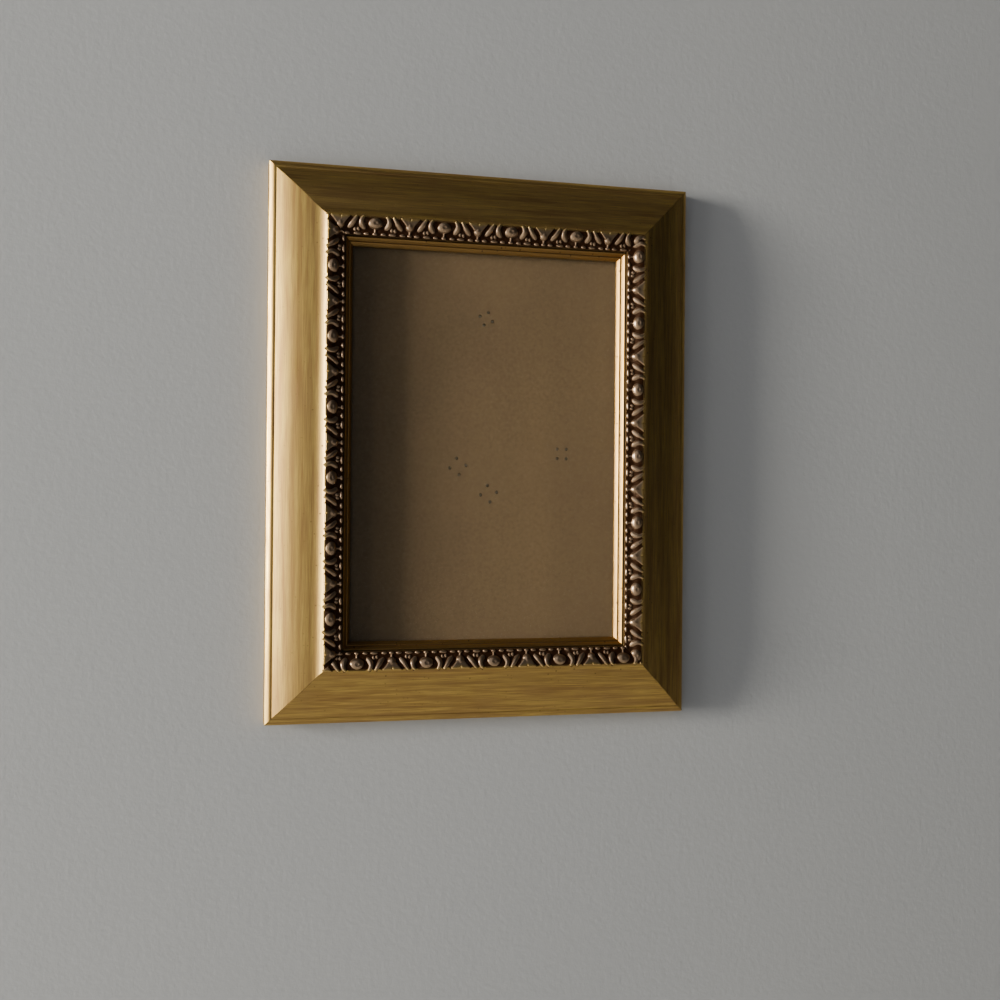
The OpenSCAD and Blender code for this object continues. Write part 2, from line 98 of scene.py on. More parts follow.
# Glass, back and strut
PICTURE_W, PICTURE_H = 130.0, 180.0
BOARD_T, GLASS_T, GLASS_FIT, GLASS_GAP = 3.0, 2.0, 0.2, 0.18
BOARD_CORNER_R, GLASS_CORNER_R = 0.3, 0.4
BOARD_BACK_H = RELIEF_H + 0.2
STRUT_X, STRUT_Z = -5.2, -14.7
STRUT_T, STRUT_TOP_W, STRUT_FOOT_W, STRUT_TIP_CUT = 2.6, 24.0, 50.0, 3.0
FOOT_U = RIM_W + 0.8
FOOT_RUN = (OUTER_W / 2 - FOOT_U + STRUT_X, OUTER_H / 2 - FOOT_U + STRUT_Z)
STRUT_TURN = math.atan2(*FOOT_RUN)
STRUT_END = math.hypot(*FOOT_RUN) - STRUT_TIP_CUT
STRUT_OPEN = math.radians(32)

# Hinge
LEAF_T, LEAF_CORNER_R, HINGE_L, KNUCKLE_L, KNUCKLE_GAP = 0.9, 2.0, 28.0, 11.4, 0.3
PIN_R, PIN_FIT, PIN_DROP, PIN_HEAD_ROUND = 1.0, 0.05, 8.0, 0.25
BOARD_LEAF_L, STRUT_LEAF_L, STRUT_LEAF_W = 6.0, 17.0, 20.0
KNUCKLE_R = PIN_R + PIN_FIT + LEAF_T
PIN_LIFT = KNUCKLE_R + PIN_FIT
LEAF_UNDER = PIN_LIFT + PIN_R + PIN_FIT
LEAF_OVER = LEAF_UNDER + LEAF_T
STRUT_TOP = PIN_DROP + KNUCKLE_R + KNUCKLE_GAP
STRUT_UNDER = LEAF_UNDER - STRUT_T
HEEL_L = (LEAF_UNDER - PIN_LIFT) * (1 + math.cos(STRUT_OPEN)) / math.sin(STRUT_OPEN)

# Rivets
STRUT_RIVET_SPAN, STRUT_PRONG_RING = 18.1, 3.65
HANGER_PRONG_RING, PRONG_R, RIVET_MARGIN, RIVET_T = 3.0, 0.42, 0.6, 0.7
HANGER_RIVET_TURN, SIDE_RIVET_TURN = 20, 45
LEAF_RIVET_R, LEAF_RIVET_HEAD_R, LEAF_RIVET_SPAN, RIVET_FIT = 1.5, 2.7, 12.0, 0.05
LEAF_RIVET_DROP = PIN_DROP + 0.58 * STRUT_LEAF_L
PRONG_SLOT, PRONG_SLOT_IN, PRONG_SLOT_RISE = 0.55, 0.35, 0.25
PRONG_TIP_R, PRONG_SHORT, PRONG_IN = 0.2, 0.12, 0.3
DOME_STEPS, DOME_EDGE = 8, 0.08
PIT_R, PIT_MOUTH_R, PIT_DEEP, PIT_OUT = 0.5, 0.78, 1.2, 0.4
BURR_SIZE, BURR_OUT, BURR_SPREAD, BURR_SINK = (0.36, 0.2, 0.16), 0.62, 0.08, 0.02
BURR_STEPS, BURR_LEAN, BURR_STRAY = 3, 0.62, 0.15

# Hanging rings
STRAP_W, STRAP_T, STRAP_TAIL, STRAP_END_R, STRAP_SLIT = 9.0, 0.6, 5.5, 5.4, 0.03
STRAP_BEND, STRAP_TRIM = ((0.45, 0.12), (1.0, 0.0)), 0.999
BAR_UP, WIRE_R, BOW_R, RING_FIT, RING_CORNER_R = 8.0, 0.8, 8.5, 0.1, 1.6
EYE_R = WIRE_R + RING_FIT + STRAP_T
HANGER_Z = PICTURE_H / 2 - 34
SIDE_HANGER_X, SIDE_HANGER_Z = PICTURE_W / 2 - 30, -2.5

# Turn buttons
BUTTON_SPREAD, BUTTON_U = 42.0, REBATE_U - 7.0
BUTTON_REACH, BUTTON_R, BUTTON_TIP_R, BUTTON_T, BUTTON_LIFT = 13.0, 4.5, 2.6, 0.8, 0.1
SCREW_R, SCREW_HEAD_R, SCREW_HEAD_T, SCREW_HEAD_RIM, SCREW_L = 1.5, 3.0, 1.5, 0.35, 7.0
SCREW_FIT, SCREW_TIP_R, SCREW_IN, SLOT_W, SLOT_D = 0.1, 0.4, 0.2, 0.75, 0.7
SCREW_TURN, SCREW_TURN_STEP = 37, 61

# The ornament's pattern: places along the strip from an egg, across it from the ridge, and above its seat
PITCH = 29.6
ARROW = PITCH / 2
PHASES = {"top": -8.9, "bottom": 2.8, "left": -15.0, "right": -3.2}
STRIP_TILT = math.atan2(SEAT_OUT_H - SEAT_IN_H, STRIP_IN_U - STRIP_OUT_U)
STRIP_V = (STRIP_IN_U - STRIP_OUT_U) / math.cos(STRIP_TILT)
GROUND = [(-0.5, 0.7), (0.2, 0.85), (1.4, 0.86), (2.2, 0.62), (3.0, 0.28), (3.6, 0.1), (STRIP_V, 0.08)]
GROUND_SINK, GROUND_OVER = 0.7, 3.0
EGG = ((0, 1.8, -0.05), (3.3, 2.55, 1.74))
DIMPLE = ((0, 1.7, 1.92), (1.4, 0.95, 0.45))
EGG_STEM = [
    (0, 3.8, 0, 0.5), (0, 4.4, -0.05, 0.5), (0, 5.0, -0.05, 0.44), (0, 5.6, -0.05, 0.44), (0, 6.2, 0, 0.5),
]
CHEEK = [
    (4.7, -1.1, 0.25, 0.8), (5.4, -0.3, 0.15, 1.15), (5.95, 0.8, -0.02, 1.45), (5.95, 2.0, -0.2, 1.58),
    (5.35, 3.2, -0.65, 1.55), (4.4, 4.3, -1.05, 1.35),
]
BUDS = (((7.1, 4.5, -0.1), 14), ((8.5, 4.7, -0.1), -6))
BUD_SIZE = (0.7, 1.0, 0.58)
LEAF = [
    (7.7, -1.1, 0.35, 0.7), (8.15, -0.2, 0.28, 1.0), (8.8, 0.8, 0.15, 1.25), (9.6, 1.9, 0.0, 1.38),
    (10.5, 3.1, -0.5, 1.38), (11.3, 4.2, -0.95, 1.25),
]
ARROW_SIDE = [(4.2, -0.9), (3.6, -0.1), (2.6, 1.1), (1.9, 2.1), (1.5, 2.6)]
ARROW_NOTCH = [(0.3, -0.9), (0, 0.2), (-0.3, -0.9)]
ARROW_T, ARROW_ROUND = 1.3, 0.25
ARROW_BULB = ((ARROW, 2.45, -0.1), (1.9, 2.3, 1.62))
ARROW_STEM = [
    (ARROW, 3.8, 0, 0.6), (ARROW, 4.4, 0, 0.55), (ARROW, 5.0, -0.05, 0.46), (ARROW, 5.6, -0.05, 0.44),
    (ARROW, 6.2, 0, 0.5),
]
BEADS = ((0.0, 1.0), (3.6, 1.15), (7.4, 1.7), (11.7, 1.2), (ARROW, 1.0))
BEAD_V, BEAD_LIFT, BEAD_R = STRIP_V - 0.7, 0.02, (0.62, 0.6)
VOXEL, SOFTENING, SOFTENINGS = 0.165, 0.5, 3

# The brown wash with painted shade on the ornament and beside it: how high above the ground it ends, how far
# the arrows carry the ridge's gold, and where it bites into the ridge
WASH_SHADE_TOP, WASH_SHADE_FADE = 0.03, 0.4
RIM_LEAST, RIM_GAIN, RIM_REACH = 0.2, 0.7, 3.5
EGG_BITE, BITES = (3.4, 4.4), ((7.25, 0.7), (10.6, 1.0))
WASH_SHADE_EDGE, BITE_EDGE, WASH_SHADE_SOFT = 0.65, -0.1, 0.1

# The camera, solved from the photograph's corners
CAMERA_AT = (-0.1210, -0.5166, 0.0940)
CAMERA_YAW, CAMERA_PITCH, CAMERA_ROLL = 14.04, 0.19, 0.51
CAMERA_LENS, SENSOR_W = 43.2, 36.0

# Stage, in metres: each lamp's power, distance, degrees out from the wall and up, size and colour
CENTRE = Vector((0.0, 0.0, OUTER_H * MM / 2))
STAGE_SIZE, FLOOR_Z, WALL_GAP = 6.0, -0.45, 0.05 * MM
LAMPS = (
    ("window", 193, 3.6, (12.5, 5), (0.56, 1.1), (1.0, 0.935, 0.78)),
    ("side", 8.5, 1.8, (21, 4), (0.7, 1.0), (1.0, 0.97, 0.9)),
    ("fill", 2.4, 1.9, (68, 12), (1.2, 1.4), (0.92, 0.95, 1.0)),
    ("sky", 1.5, 1.9, (60, 46), (1.2, 0.8), (0.92, 0.95, 1.0)),
)
BOUNCE_POWER, BOUNCE_AT, BOUNCE_AIM = 0.09, (-0.75, -0.45, -0.8), (-0.1, 0, -0.1)
BEHIND_POWER, BEHIND_ANGLE = 1.0, 20
ROOM_COLOUR, ROOM_POWER = (0.9, 0.95, 1.0, 1), 0.018

# In the moulding's map, the wood that is left bare lies past the rail's own width
BARE_V, BARE_FROM = 60.0, RAIL_W + 2

# Colours
GOLD_DEEP, GOLD_BRIGHT = (0.48, 0.295, 0.10, 1), (0.90, 0.63, 0.17, 1)
GOLD_STREAK, GOLD_STAIN, GOLD_LIPS = (0.28, 0.15, 0.06, 1), (0.46, 0.29, 0.12, 1), (0.35, 0.205, 0.07, 1)
# The first is the rails' dark brown: a brown wash with painted shade in the grooves, between the lips and
# beside the ornament; the second colours the specks
WASH_SHADE_BROWN, SPECK_BROWN = (0.045, 0.022, 0.008, 1), (0.05, 0.025, 0.01, 1)
WOOD_DARK, WOOD_PALE, WOOD_GRAIN = (0.33, 0.20, 0.105, 1), (0.52, 0.36, 0.21, 1), (0.26, 0.15, 0.075, 1)
# The ornament's hollows: a dark brown wash with painted shade
RECESS, RECESS_RISE = (0.024, 0.008, 0.002, 1), (0.10, 0.050, 0.030, 1)
BRONZE, ORNAMENT_GOLD = (0.47, 0.325, 0.215, 1), (0.76, 0.53, 0.20, 1)
ORNAMENT_SPECK = (0.03, 0.015, 0.008, 1)
GOLD_TINT, BRONZE_TINT = (1.0, 0.84, 0.52, 1), (1.0, 0.86, 0.7, 1)
GLASS_SMUDGED, GLASS_CLEAR = (0.97, 0.985, 0.975, 1), (0.995, 1.0, 0.998, 1)
BACK_TONES = ((0.125, 0.080, 0.038, 1), (0.155, 0.100, 0.048, 1), (0.19, 0.13, 0.07, 1))
STRUT_TONES = ((0.075, 0.042, 0.022, 1), (0.13, 0.078, 0.042, 1), (0.19, 0.125, 0.075, 1))
ZINC_TONES = ((0.36, 0.37, 0.38, 1), (0.62, 0.63, 0.64, 1), (0.44, 0.43, 0.41, 1))
BRASS_TONES = ((0.50, 0.34, 0.12, 1), (0.80, 0.60, 0.27, 1), (0.42, 0.27, 0.10, 1))
WALL_TONES = ((0.46, 0.482, 0.52, 1), (0.52, 0.535, 0.575, 1))
FLOOR_TONES = ((0.60, 0.59, 0.57, 1), (0.66, 0.65, 0.63, 1))


# Tools

def nothing_selected():
    """Objects out of edit mode and out of the selection."""
    if bpy.context.object and bpy.context.object.mode != "OBJECT":
        bpy.ops.object.mode_set(mode="OBJECT")
    bpy.ops.object.select_all(action="DESELECT")


def only(piece):
    """Selects one piece and makes it active."""
    nothing_selected()
    piece.select_set(True)
    bpy.context.view_layer.objects.active = piece


def in_edit(piece, kind="FACE", action="SELECT"):
    """Opens a piece for editing with all or nothing in it selected."""
    only(piece)
    bpy.ops.object.mode_set(mode="EDIT")
    bpy.ops.mesh.select_mode(type=kind)
    bpy.ops.mesh.select_all(action=action)


def out_of_edit():
    bpy.ops.object.mode_set(mode="OBJECT")


def close_outwards():
    """Turns every face of the open piece outwards and closes it."""
    bpy.ops.mesh.select_all(action="SELECT")
    bpy.ops.mesh.normals_make_consistent(inside=False)
    out_of_edit()


def pick_edges(piece, test):
    """Selects the edges whose two ends pass the test, from edit mode."""
    out_of_edit()
    points = piece.data.vertices
    for edge in piece.data.edges:
        edge.select = test(*(points[index].co for index in edge.vertices))
    bpy.ops.object.mode_set(mode="EDIT")


def join(pieces):
    """Joins pieces into the first one."""
    only(pieces[0])
    for piece in pieces[1:]:
        piece.select_set(True)
    bpy.ops.object.join()
    return pieces[0]


def fused(pieces):
    """Joins pieces and merges the points where they meet."""
    piece = join(pieces)
    in_edit(piece, "VERT")
    bpy.ops.mesh.remove_doubles(threshold=SEAM)
    out_of_edit()
    return piece


def copy_of(piece, name):
    """A copy with its own mesh."""
    twin = piece.copy()
    twin.data = piece.data.copy()
    twin.name = twin.data.name = name
    bpy.context.scene.collection.objects.link(twin)
    return twin


def shaped(piece, kind, **settings):
    """Adds a modifier with its settings and applies it."""
    only(piece)
    step = piece.modifiers.new(kind.lower(), kind)
    for key, value in settings.items():
        setattr(step, key, value)
    bpy.ops.object.modifier_apply(modifier=step.name)
    return piece


def outline_of(points, fill="NGON"):
    """A closed outline through points, with or without its face."""
    nothing_selected()
    bpy.ops.mesh.primitive_circle_add(vertices=len(points), radius=1.0, fill_type=fill)
    piece = bpy.context.object
    for vertex, point in zip(piece.data.vertices, points):
        vertex.co = point
    return piece


def drawn_out(points, reach):
    """A closed solid: an outline of points drawn out along a vector."""
    piece = outline_of(points)
    in_edit(piece)
    bpy.ops.mesh.extrude_region_move(TRANSFORM_OT_translate={"value": reach})
    close_outwards()
    return piece


def plate(outline, low, high):
    """A flat plate with an (x, y) outline."""
    return drawn_out([(x, y, low) for x, y in outline], (0, 0, high - low))


def sheet(outline, width):
    """A bent sheet: a (y, z) outline drawn out along X, centred."""
    return drawn_out([(-width / 2, y, z) for y, z in outline], (width, 0, 0))


def turned(outline, steps=48):
    """Spins a closed (radius, height) outline round the Z axis."""
    piece = outline_of([(radius, 0, height) for radius, height in outline], "NOTHING")
    in_edit(piece, "VERT")
    bpy.ops.mesh.spin(steps=steps, angle=2 * math.pi, center=(0, 0, 0), axis=(0, 0, 1))
    bpy.ops.mesh.select_all(action="SELECT")
    bpy.ops.mesh.remove_doubles(threshold=SPIN_SEAM)
    bpy.ops.mesh.select_all(action="SELECT")
    bpy.ops.mesh.delete_loose(use_verts=True, use_edges=True, use_faces=False)
    close_outwards()
    return piece


def block(low, high):
    """A box between two corners."""
    nothing_selected()
    bpy.ops.mesh.primitive_cube_add(size=1.0)
    piece = bpy.context.object
    middle = [(a + b) / 2 for a, b in zip(low, high)]
    reach = [b - a for a, b in zip(low, high)]
    piece.data.transform(Matrix.Translation(middle) @ Matrix.Diagonal((*reach, 1.0)))
    return piece


def peg(place, radius, low, high, tip=None):
    """A round peg along Z, or a cone with a tip of its own radius at the low end."""
    nothing_selected()
    bottom = radius if tip is None else tip
    bpy.ops.mesh.primitive_cone_add(vertices=32, radius1=bottom, radius2=radius, depth=high - low)
    piece = bpy.context.object
    piece.data.transform(Matrix.Translation((place[0], place[1], (low + high) / 2)))
    return piece


def carve(piece, tool, operation="DIFFERENCE"):
    """Cuts a tool out of a piece, or keeps what the two share, and removes the tool."""
    shaped(piece, "BOOLEAN", operation=operation, solver="EXACT", object=tool)
    bpy.data.objects.remove(tool)
    return piece


def rounded(piece, width, segments=2, angle=35):
    """Rounds a piece's sharp edges."""
    limit = math.radians(angle)
    return shaped(piece, "BEVEL", width=width, segments=segments, limit_method="ANGLE", angle_limit=limit)


def finish_mesh(piece, angle=35, merge=0.0, flats=True):
    """Merged, normals outwards, smooth by angle, with its large flats kept flat."""
    in_edit(piece, "VERT")
    if merge:
        bpy.ops.mesh.remove_doubles(threshold=merge)
    close_outwards()
    bpy.ops.object.shade_smooth_by_angle(angle=math.radians(angle))
    if flats:
        shaped(piece, "WEIGHTED_NORMAL", keep_sharp=True, weight=80)
    return piece


def settle(piece, matrix):
    """Puts a piece that was made in millimetres into the frame's metres."""
    piece.data.transform(Matrix.Scale(MM, 4) @ matrix)
    piece.data.update()
    return piece


def hand_in(piece, name, body, slot, material, *nodes):
    """Names a finished piece, gives it its material and lets it ride on its body."""
    piece.name = piece.data.name = name
    piece.data.materials.clear()
    piece.data.materials.append(material)
    for face in piece.data.polygons:
        face.material_index = 0
    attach(piece, body)
    if nodes:
        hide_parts(*nodes)
    return piece


# Node groups

def new_tree(name, inputs, outputs):
    """A shader node group with named inputs and outputs."""
    tree = bpy.data.node_groups.new(name, "ShaderNodeTree")
    for label, kind, value in inputs:
        socket = tree.interface.new_socket(label, in_out="INPUT", socket_type="NodeSocket" + kind)
        if value is not None:
            socket.default_value = value
    for label, kind in outputs:
        tree.interface.new_socket(label, in_out="OUTPUT", socket_type="NodeSocket" + kind)
    return tree, tree.nodes.new("NodeGroupInput"), tree.nodes.new("NodeGroupOutput")


def feed(tree, node, values):
    """Links a node's inputs to their sources, or sets them to values."""
    for key, value in values.items():
        socket = node.inputs[key]
        if isinstance(value, bpy.types.NodeSocket):
            tree.links.new(value, socket)
        else:
            socket.default_value = value


def add(tree, kind, values=None, **settings):
    """Adds a shader node with its settings and its inputs' sources or values."""
    node = tree.nodes.new("ShaderNode" + kind)
    for key, value in settings.items():
        setattr(node, key, value)
    feed(tree, node, values or {})
    return node


def math_node(tree, operation, a, b=0.0, c=0.0):
    return add(tree, "Math", {0: a, 1: b, 2: c}, operation=operation).outputs[0]


def times(tree, a, b):
    return math_node(tree, "MULTIPLY", a, b)


def plus(tree, a, b):
    return math_node(tree, "ADD", a, b)


def most(tree, a, b):
    return math_node(tree, "MAXIMUM", a, b)


def apart(tree, a, b):
    """How far two values lie apart."""
    return math_node(tree, "ABSOLUTE", math_node(tree, "SUBTRACT", a, b))


def noise(tree, vector, scale, detail=3.0, rough=0.5, distort=0.0):
    values = {"Vector": vector, "Scale": scale, "Detail": detail, "Roughness": rough, "Distortion": distort}
    return add(tree, "TexNoise", values).outputs["Fac"]


def spread(tree, value, low, high, to_low=0.0, to_high=1.0):
    """Maps a value from one range to another, held at its ends."""
    values = {"Value": value, "From Min": low, "From Max": high, "To Min": to_low, "To Max": to_high}
    return add(tree, "MapRange", values).outputs["Result"]


def mix_colour(tree, factor, a, b, blend="MIX"):
    return add(tree, "Mix", {0: factor, 6: a, 7: b}, data_type="RGBA", blend_type=blend).outputs[2]


def scaled(tree, vector, x, y, z):
    return add(tree, "Mapping", {"Vector": vector, "Scale": (x, y, z)}).outputs[0]


def streak_group():
    """Fine and broad brushed streaks that run along a vector's X, in metres."""
    tree, source, sink = new_tree(
        "Brushed streaks",
        [("Vector", "Vector", None), ("Fineness", "Float", 1.0)],
        [("Fine", "Float"), ("Broad", "Float"), ("Height", "Float")],
    )
    sized = {0: source.outputs["Vector"], "Scale": source.outputs["Fineness"]}
    vector = add(tree, "VectorMath", sized, operation="SCALE").outputs[0]
    fine = noise(tree, scaled(tree, vector, 70, 3400, 900), 1.0, 4.0, 0.62)
    broad = noise(tree, scaled(tree, vector, 22, 520, 300), 1.0, 4.0, 0.6, 0.2)
    feed(tree, sink, {
        "Fine": spread(tree, fine, 0.32, 0.68),
        "Broad": spread(tree, broad, 0.35, 0.65),
        "Height": plus(tree, times(tree, fine, 0.7), times(tree, broad, 0.3)),
    })
    return tree


def wear_group():
    """Soft stains and small dark specks, as on handled metal or old gilding."""
    floats = (("Stain Scale", 40.0), ("Speck Scale", 900.0), ("Speck Share", 0.3))
    tree, source, sink = new_tree(
        "Stains and specks",
        [("Vector", "Vector", None), *((label, "Float", value) for label, value in floats)],
        [("Stain", "Float"), ("Specks", "Float")],
    )
    vector = source.outputs["Vector"]
    stain = noise(tree, vector, source.outputs["Stain Scale"], 5.0, 0.6, 0.3)
    cells = add(tree, "TexVoronoi", {"Vector": vector, "Scale": source.outputs["Speck Scale"]}, feature="F1")
    dots = spread(tree, cells.outputs["Distance"], 0.12, 0.26, 1.0, 0.0)
    chosen = add(tree, "SeparateColor", {0: cells.outputs["Color"]}).outputs[0]
    few = math_node(tree, "LESS_THAN", chosen, source.outputs["Speck Share"])
    feed(tree, sink, {"Stain": spread(tree, stain, 0.35, 0.7), "Specks": times(tree, dots, few)})
    return tree


def grain_group():
    """Pressed wood fibre: a fine mottle with short fibres."""
    tree, source, sink = new_tree(
        "Pressed fibre",
        [("Vector", "Vector", None)],
        [("Mottle", "Float"), ("Fibres", "Float"), ("Height", "Float")],
    )
    vector = source.outputs["Vector"]
    mottle = noise(tree, vector, 700.0, 4.0, 0.6)
    one = noise(tree, scaled(tree, vector, 500, 1500, 2600), 1.0, 2.0, 0.5, 1.2)
    other = noise(tree, scaled(tree, vector, 2600, 1500, 500), 1.0, 2.0, 0.5, 1.2)
    fibres = most(tree, one, other)
    feed(tree, sink, {
        "Mottle": spread(tree, mottle, 0.3, 0.7),
        "Fibres": spread(tree, fibres, 0.5, 0.75),
        "Height": plus(tree, times(tree, mottle, 0.4), times(tree, fibres, 0.6)),
    })
    return tree


def group(tree, which, **inputs):
    """Places a node group; an underscore in an input's name stands for a space."""
    node = tree.nodes.new("ShaderNodeGroup")
    node.node_tree = which
    feed(tree, node, {key.replace("_", " "): value for key, value in inputs.items()})
    return node.outputs


STREAKS = streak_group()
WEAR = wear_group()
GRAIN = grain_group()


def new_material(name):
    """A material with an empty node tree, its shader and its output."""
    material = bpy.data.materials.new(name)
    material.use_nodes = True
    tree = material.node_tree
    tree.nodes.clear()
    shader = tree.nodes.new("ShaderNodeBsdfPrincipled")
    sink = tree.nodes.new("ShaderNodeOutputMaterial")
    tree.links.new(shader.outputs[0], sink.inputs["Surface"])
    return material, tree, shader


def bump(tree, shader, height, strength, distance):
    node = add(tree, "Bump", {"Strength": strength, "Distance": distance, "Height": height})
    feed(tree, shader, {"Normal": node.outputs[0]})


def see_through(tree, shader, where):
    """Makes a material transparent where a value is 1."""
    clear = tree.nodes.new("ShaderNodeBsdfTransparent")
    either = add(tree, "MixShader", {0: where, 1: shader.outputs[0], 2: clear.outputs[0]})
    sink = next(node for node in tree.nodes if node.type == "OUTPUT_MATERIAL")
    feed(tree, sink, {"Surface": either.outputs[0]})


def scallops(tree, along, across):
    """The brown wash with painted shade beside the ornament: its edge bites into the ridge between the cast
    forms.
    """
    turns = math_node(tree, "FRACT", math_node(tree, "MULTIPLY_ADD", along, 1 / (PITCH * MM), 0.5))
    away = apart(tree, turns, 0.5)
    bite = spread(tree, away, EGG_BITE[0] / PITCH, EGG_BITE[1] / PITCH, 1.0, 0.0)
    for middle, reach in BITES:
        gap = apart(tree, away, middle / PITCH)
        bite = most(tree, bite, spread(tree, gap, 0.3 * reach / PITCH, reach / PITCH, 1.0, 0.0))
    edge = spread(tree, bite, 0.0, 1.0, (RIDGE_U + WASH_SHADE_EDGE) * MM, (RIDGE_U + BITE_EDGE) * MM)
    beyond = math_node(tree, "SUBTRACT", across, edge)
    return spread(tree, beyond, -WASH_SHADE_SOFT * MM, WASH_SHADE_SOFT * MM, 0.0, 0.9)


def gold(tree, across, streaks, wear):
    """Gold that is streaked along the rail, stained, and toned down on the lips."""
    colour = mix_colour(tree, streaks["Broad"], GOLD_DEEP, GOLD_BRIGHT)
    colour = mix_colour(tree, times(tree, streaks["Fine"], 0.8), colour, GOLD_STREAK)
    colour = mix_colour(tree, times(tree, wear["Stain"], 0.35), colour, GOLD_STAIN)
    toned = spread(tree, across, STRIP_IN_U * MM, (STRIP_IN_U + 0.2) * MM, 0.0, 0.9)
    return mix_colour(tree, toned, colour, GOLD_LIPS)


def rail_wash_and_shade(tree, along, across):
    """Where the brown wash and painted shade lie: in the two grooves and beside the ornament."""
    groove = spread(tree, apart(tree, across, GROOVE_U * MM), 0.05 * MM, 0.3 * MM, 0.12, 0.0)
    lips = spread(tree, across, (STRIP_IN_U + 0.35) * MM, (STRIP_IN_U + 0.75) * MM, 1.0, 0.0)
    seat = times(tree, scallops(tree, along, across), lips)
    between = spread(tree, apart(tree, across, LIP_GROOVE_U * MM), 0.08 * MM, 0.22 * MM, 0.85, 0.0)
    return most(tree, groove, most(tree, seat, between))


def bare_wood(tree, uv, streaks):
    """Softwood with its grain along the rail."""
    rings = noise(tree, scaled(tree, uv, 9, 260, 1), 1.0, 4.0, 0.55, 0.6)
    wood = mix_colour(tree, spread(tree, rings, 0.35, 0.65), WOOD_DARK, WOOD_PALE)
    return mix_colour(tree, times(tree, streaks["Fine"], 0.35), wood, WOOD_GRAIN)


def gilt_material():
    """Gilding brushed along the rail, with a brown wash and painted shade in its grooves, specks, and bare
    wood at the back.
    """
    material, tree, shader = new_material("brushed_gilt")
    uv = add(tree, "UVMap", uv_map="moulding").outputs[0]
    along, across, _ = add(tree, "SeparateXYZ", {0: uv}).outputs
    streaks = group(tree, STREAKS, Vector=uv, Fineness=1.0)
    wear = group(tree, WEAR, Vector=uv, Stain_Scale=45.0, Speck_Scale=600.0, Speck_Share=0.16)
    wash_and_shade = rail_wash_and_shade(tree, along, across)
    towards_ridge = spread(tree, across, (RIDGE_U - 7) * MM, (RIDGE_U - 1) * MM, 0.25, 0.9)
    specks = times(tree, wear["Specks"], towards_ridge)
    bare = math_node(tree, "GREATER_THAN", across, BARE_FROM * MM)
    colour = mix_colour(tree, wash_and_shade, gold(tree, across, streaks, wear), WASH_SHADE_BROWN)
    colour = mix_colour(tree, specks, colour, SPECK_BROWN)
    colour = mix_colour(tree, bare, colour, bare_wood(tree, uv, streaks))
    dull = most(tree, most(tree, wash_and_shade, specks), times(tree, bare, 1.5))
    rough = spread(tree, streaks["Fine"], 0.0, 1.0, 0.29, 0.42)
    feed(tree, shader, {
        "Base Color": colour,
        "Metallic": spread(tree, dull, 0.0, 1.5, 0.92, 0.0),
        "Roughness": plus(tree, rough, times(tree, dull, 0.25)),
        "Specular Tint": GOLD_TINT,
    })
    bump(tree, shader, streaks["Height"], 0.35, 0.00006)
    return material


def ornament_material():
    """Cast ornament: bronze high spots, gold beside the ridge, a dark brown wash with painted shade in the
    recesses.
    """
    material, tree, shader = new_material("bronzed_ornament")
    relief, rim = (add(tree, "Attribute", attribute_name=name).outputs["Fac"] for name in ("relief", "rim"))
    place = add(tree, "TexCoord").outputs["Object"]
    wear = group(tree, WEAR, Vector=place, Stain_Scale=260.0, Speck_Scale=1500.0, Speck_Share=0.25)
    relief_and_stain = plus(tree, relief, times(tree, math_node(tree, "SUBTRACT", wear["Stain"], 0.5), 0.3))
    high = spread(tree, relief_and_stain, 0.1, 0.6)
    # Very dark in the hollows, rising to bronze on the high spots: a brown wash with painted shade
    colour = mix_colour(tree, spread(tree, relief_and_stain, 0.0, 0.3), RECESS, RECESS_RISE)
    colour = mix_colour(tree, high, colour, mix_colour(tree, rim, BRONZE, ORNAMENT_GOLD))
    feed(tree, shader, {
        "Base Color": mix_colour(tree, times(tree, wear["Specks"], 0.5), colour, ORNAMENT_SPECK),
        "Metallic": spread(tree, high, 0.0, 0.6, 0.2, 0.95),
        "Roughness": spread(tree, high, 0.0, 1.0, 0.6, 0.32),
        "Specular IOR Level": 0.15,
        "Specular Tint": BRONZE_TINT,
    })
    bump(tree, shader, noise(tree, place, 2600.0, 3.0, 0.6), 0.25, 0.00008)
    return material


def glass_material():
    """Clear glass with faint smudges; light for the shadows passes straight through."""
    material, tree, shader = new_material("clear_pane")
    place = add(tree, "TexCoord").outputs["Object"]
    wear = group(tree, WEAR, Vector=place, Stain_Scale=25.0, Speck_Scale=500.0, Speck_Share=0.02)
    feed(tree, shader, {
        "Base Color": mix_colour(tree, wear["Stain"], GLASS_SMUDGED, GLASS_CLEAR),
        "Roughness": spread(tree, wear["Stain"], 0.0, 1.0, 0.015, 0.035),
        "Transmission Weight": 1.0,
        "IOR": 1.45,
    })
    see_through(tree, shader, add(tree, "LightPath").outputs["Is Shadow Ray"])
    return material


def hardboard_material(name, dark, pale, fibre):
    """Pressed hardboard: a fine mottle with short fibres and soft upright bands."""
    material, tree, shader = new_material(name)
    place = add(tree, "TexCoord").outputs["Object"]
    grain = group(tree, GRAIN, Vector=place)
    wear = group(tree, WEAR, Vector=place, Stain_Scale=9.0, Speck_Scale=420.0, Speck_Share=0.05)
    bands = noise(tree, scaled(tree, place, 60, 60, 3), 1.0, 2.0, 0.5)
    colour = mix_colour(tree, grain["Mottle"], dark, pale)
    colour = mix_colour(tree, times(tree, grain["Fibres"], 0.3), colour, fibre)
    shade = spread(tree, plus(tree, bands, wear["Stain"]), 0.4, 1.4, 0.86, 1.08)
    shades = add(tree, "CombineColor", {0: shade, 1: shade, 2: shade}).outputs[0]
    colour = mix_colour(tree, 1.0, colour, shades, "MULTIPLY")
    feed(tree, shader, {
        "Base Color": mix_colour(tree, times(tree, wear["Specks"], 0.35), colour, dark),
        "Roughness": spread(tree, grain["Mottle"], 0.0, 1.0, 0.72, 0.5),
    })
    bump(tree, shader, grain["Height"], 0.3, 0.0001)
    return material


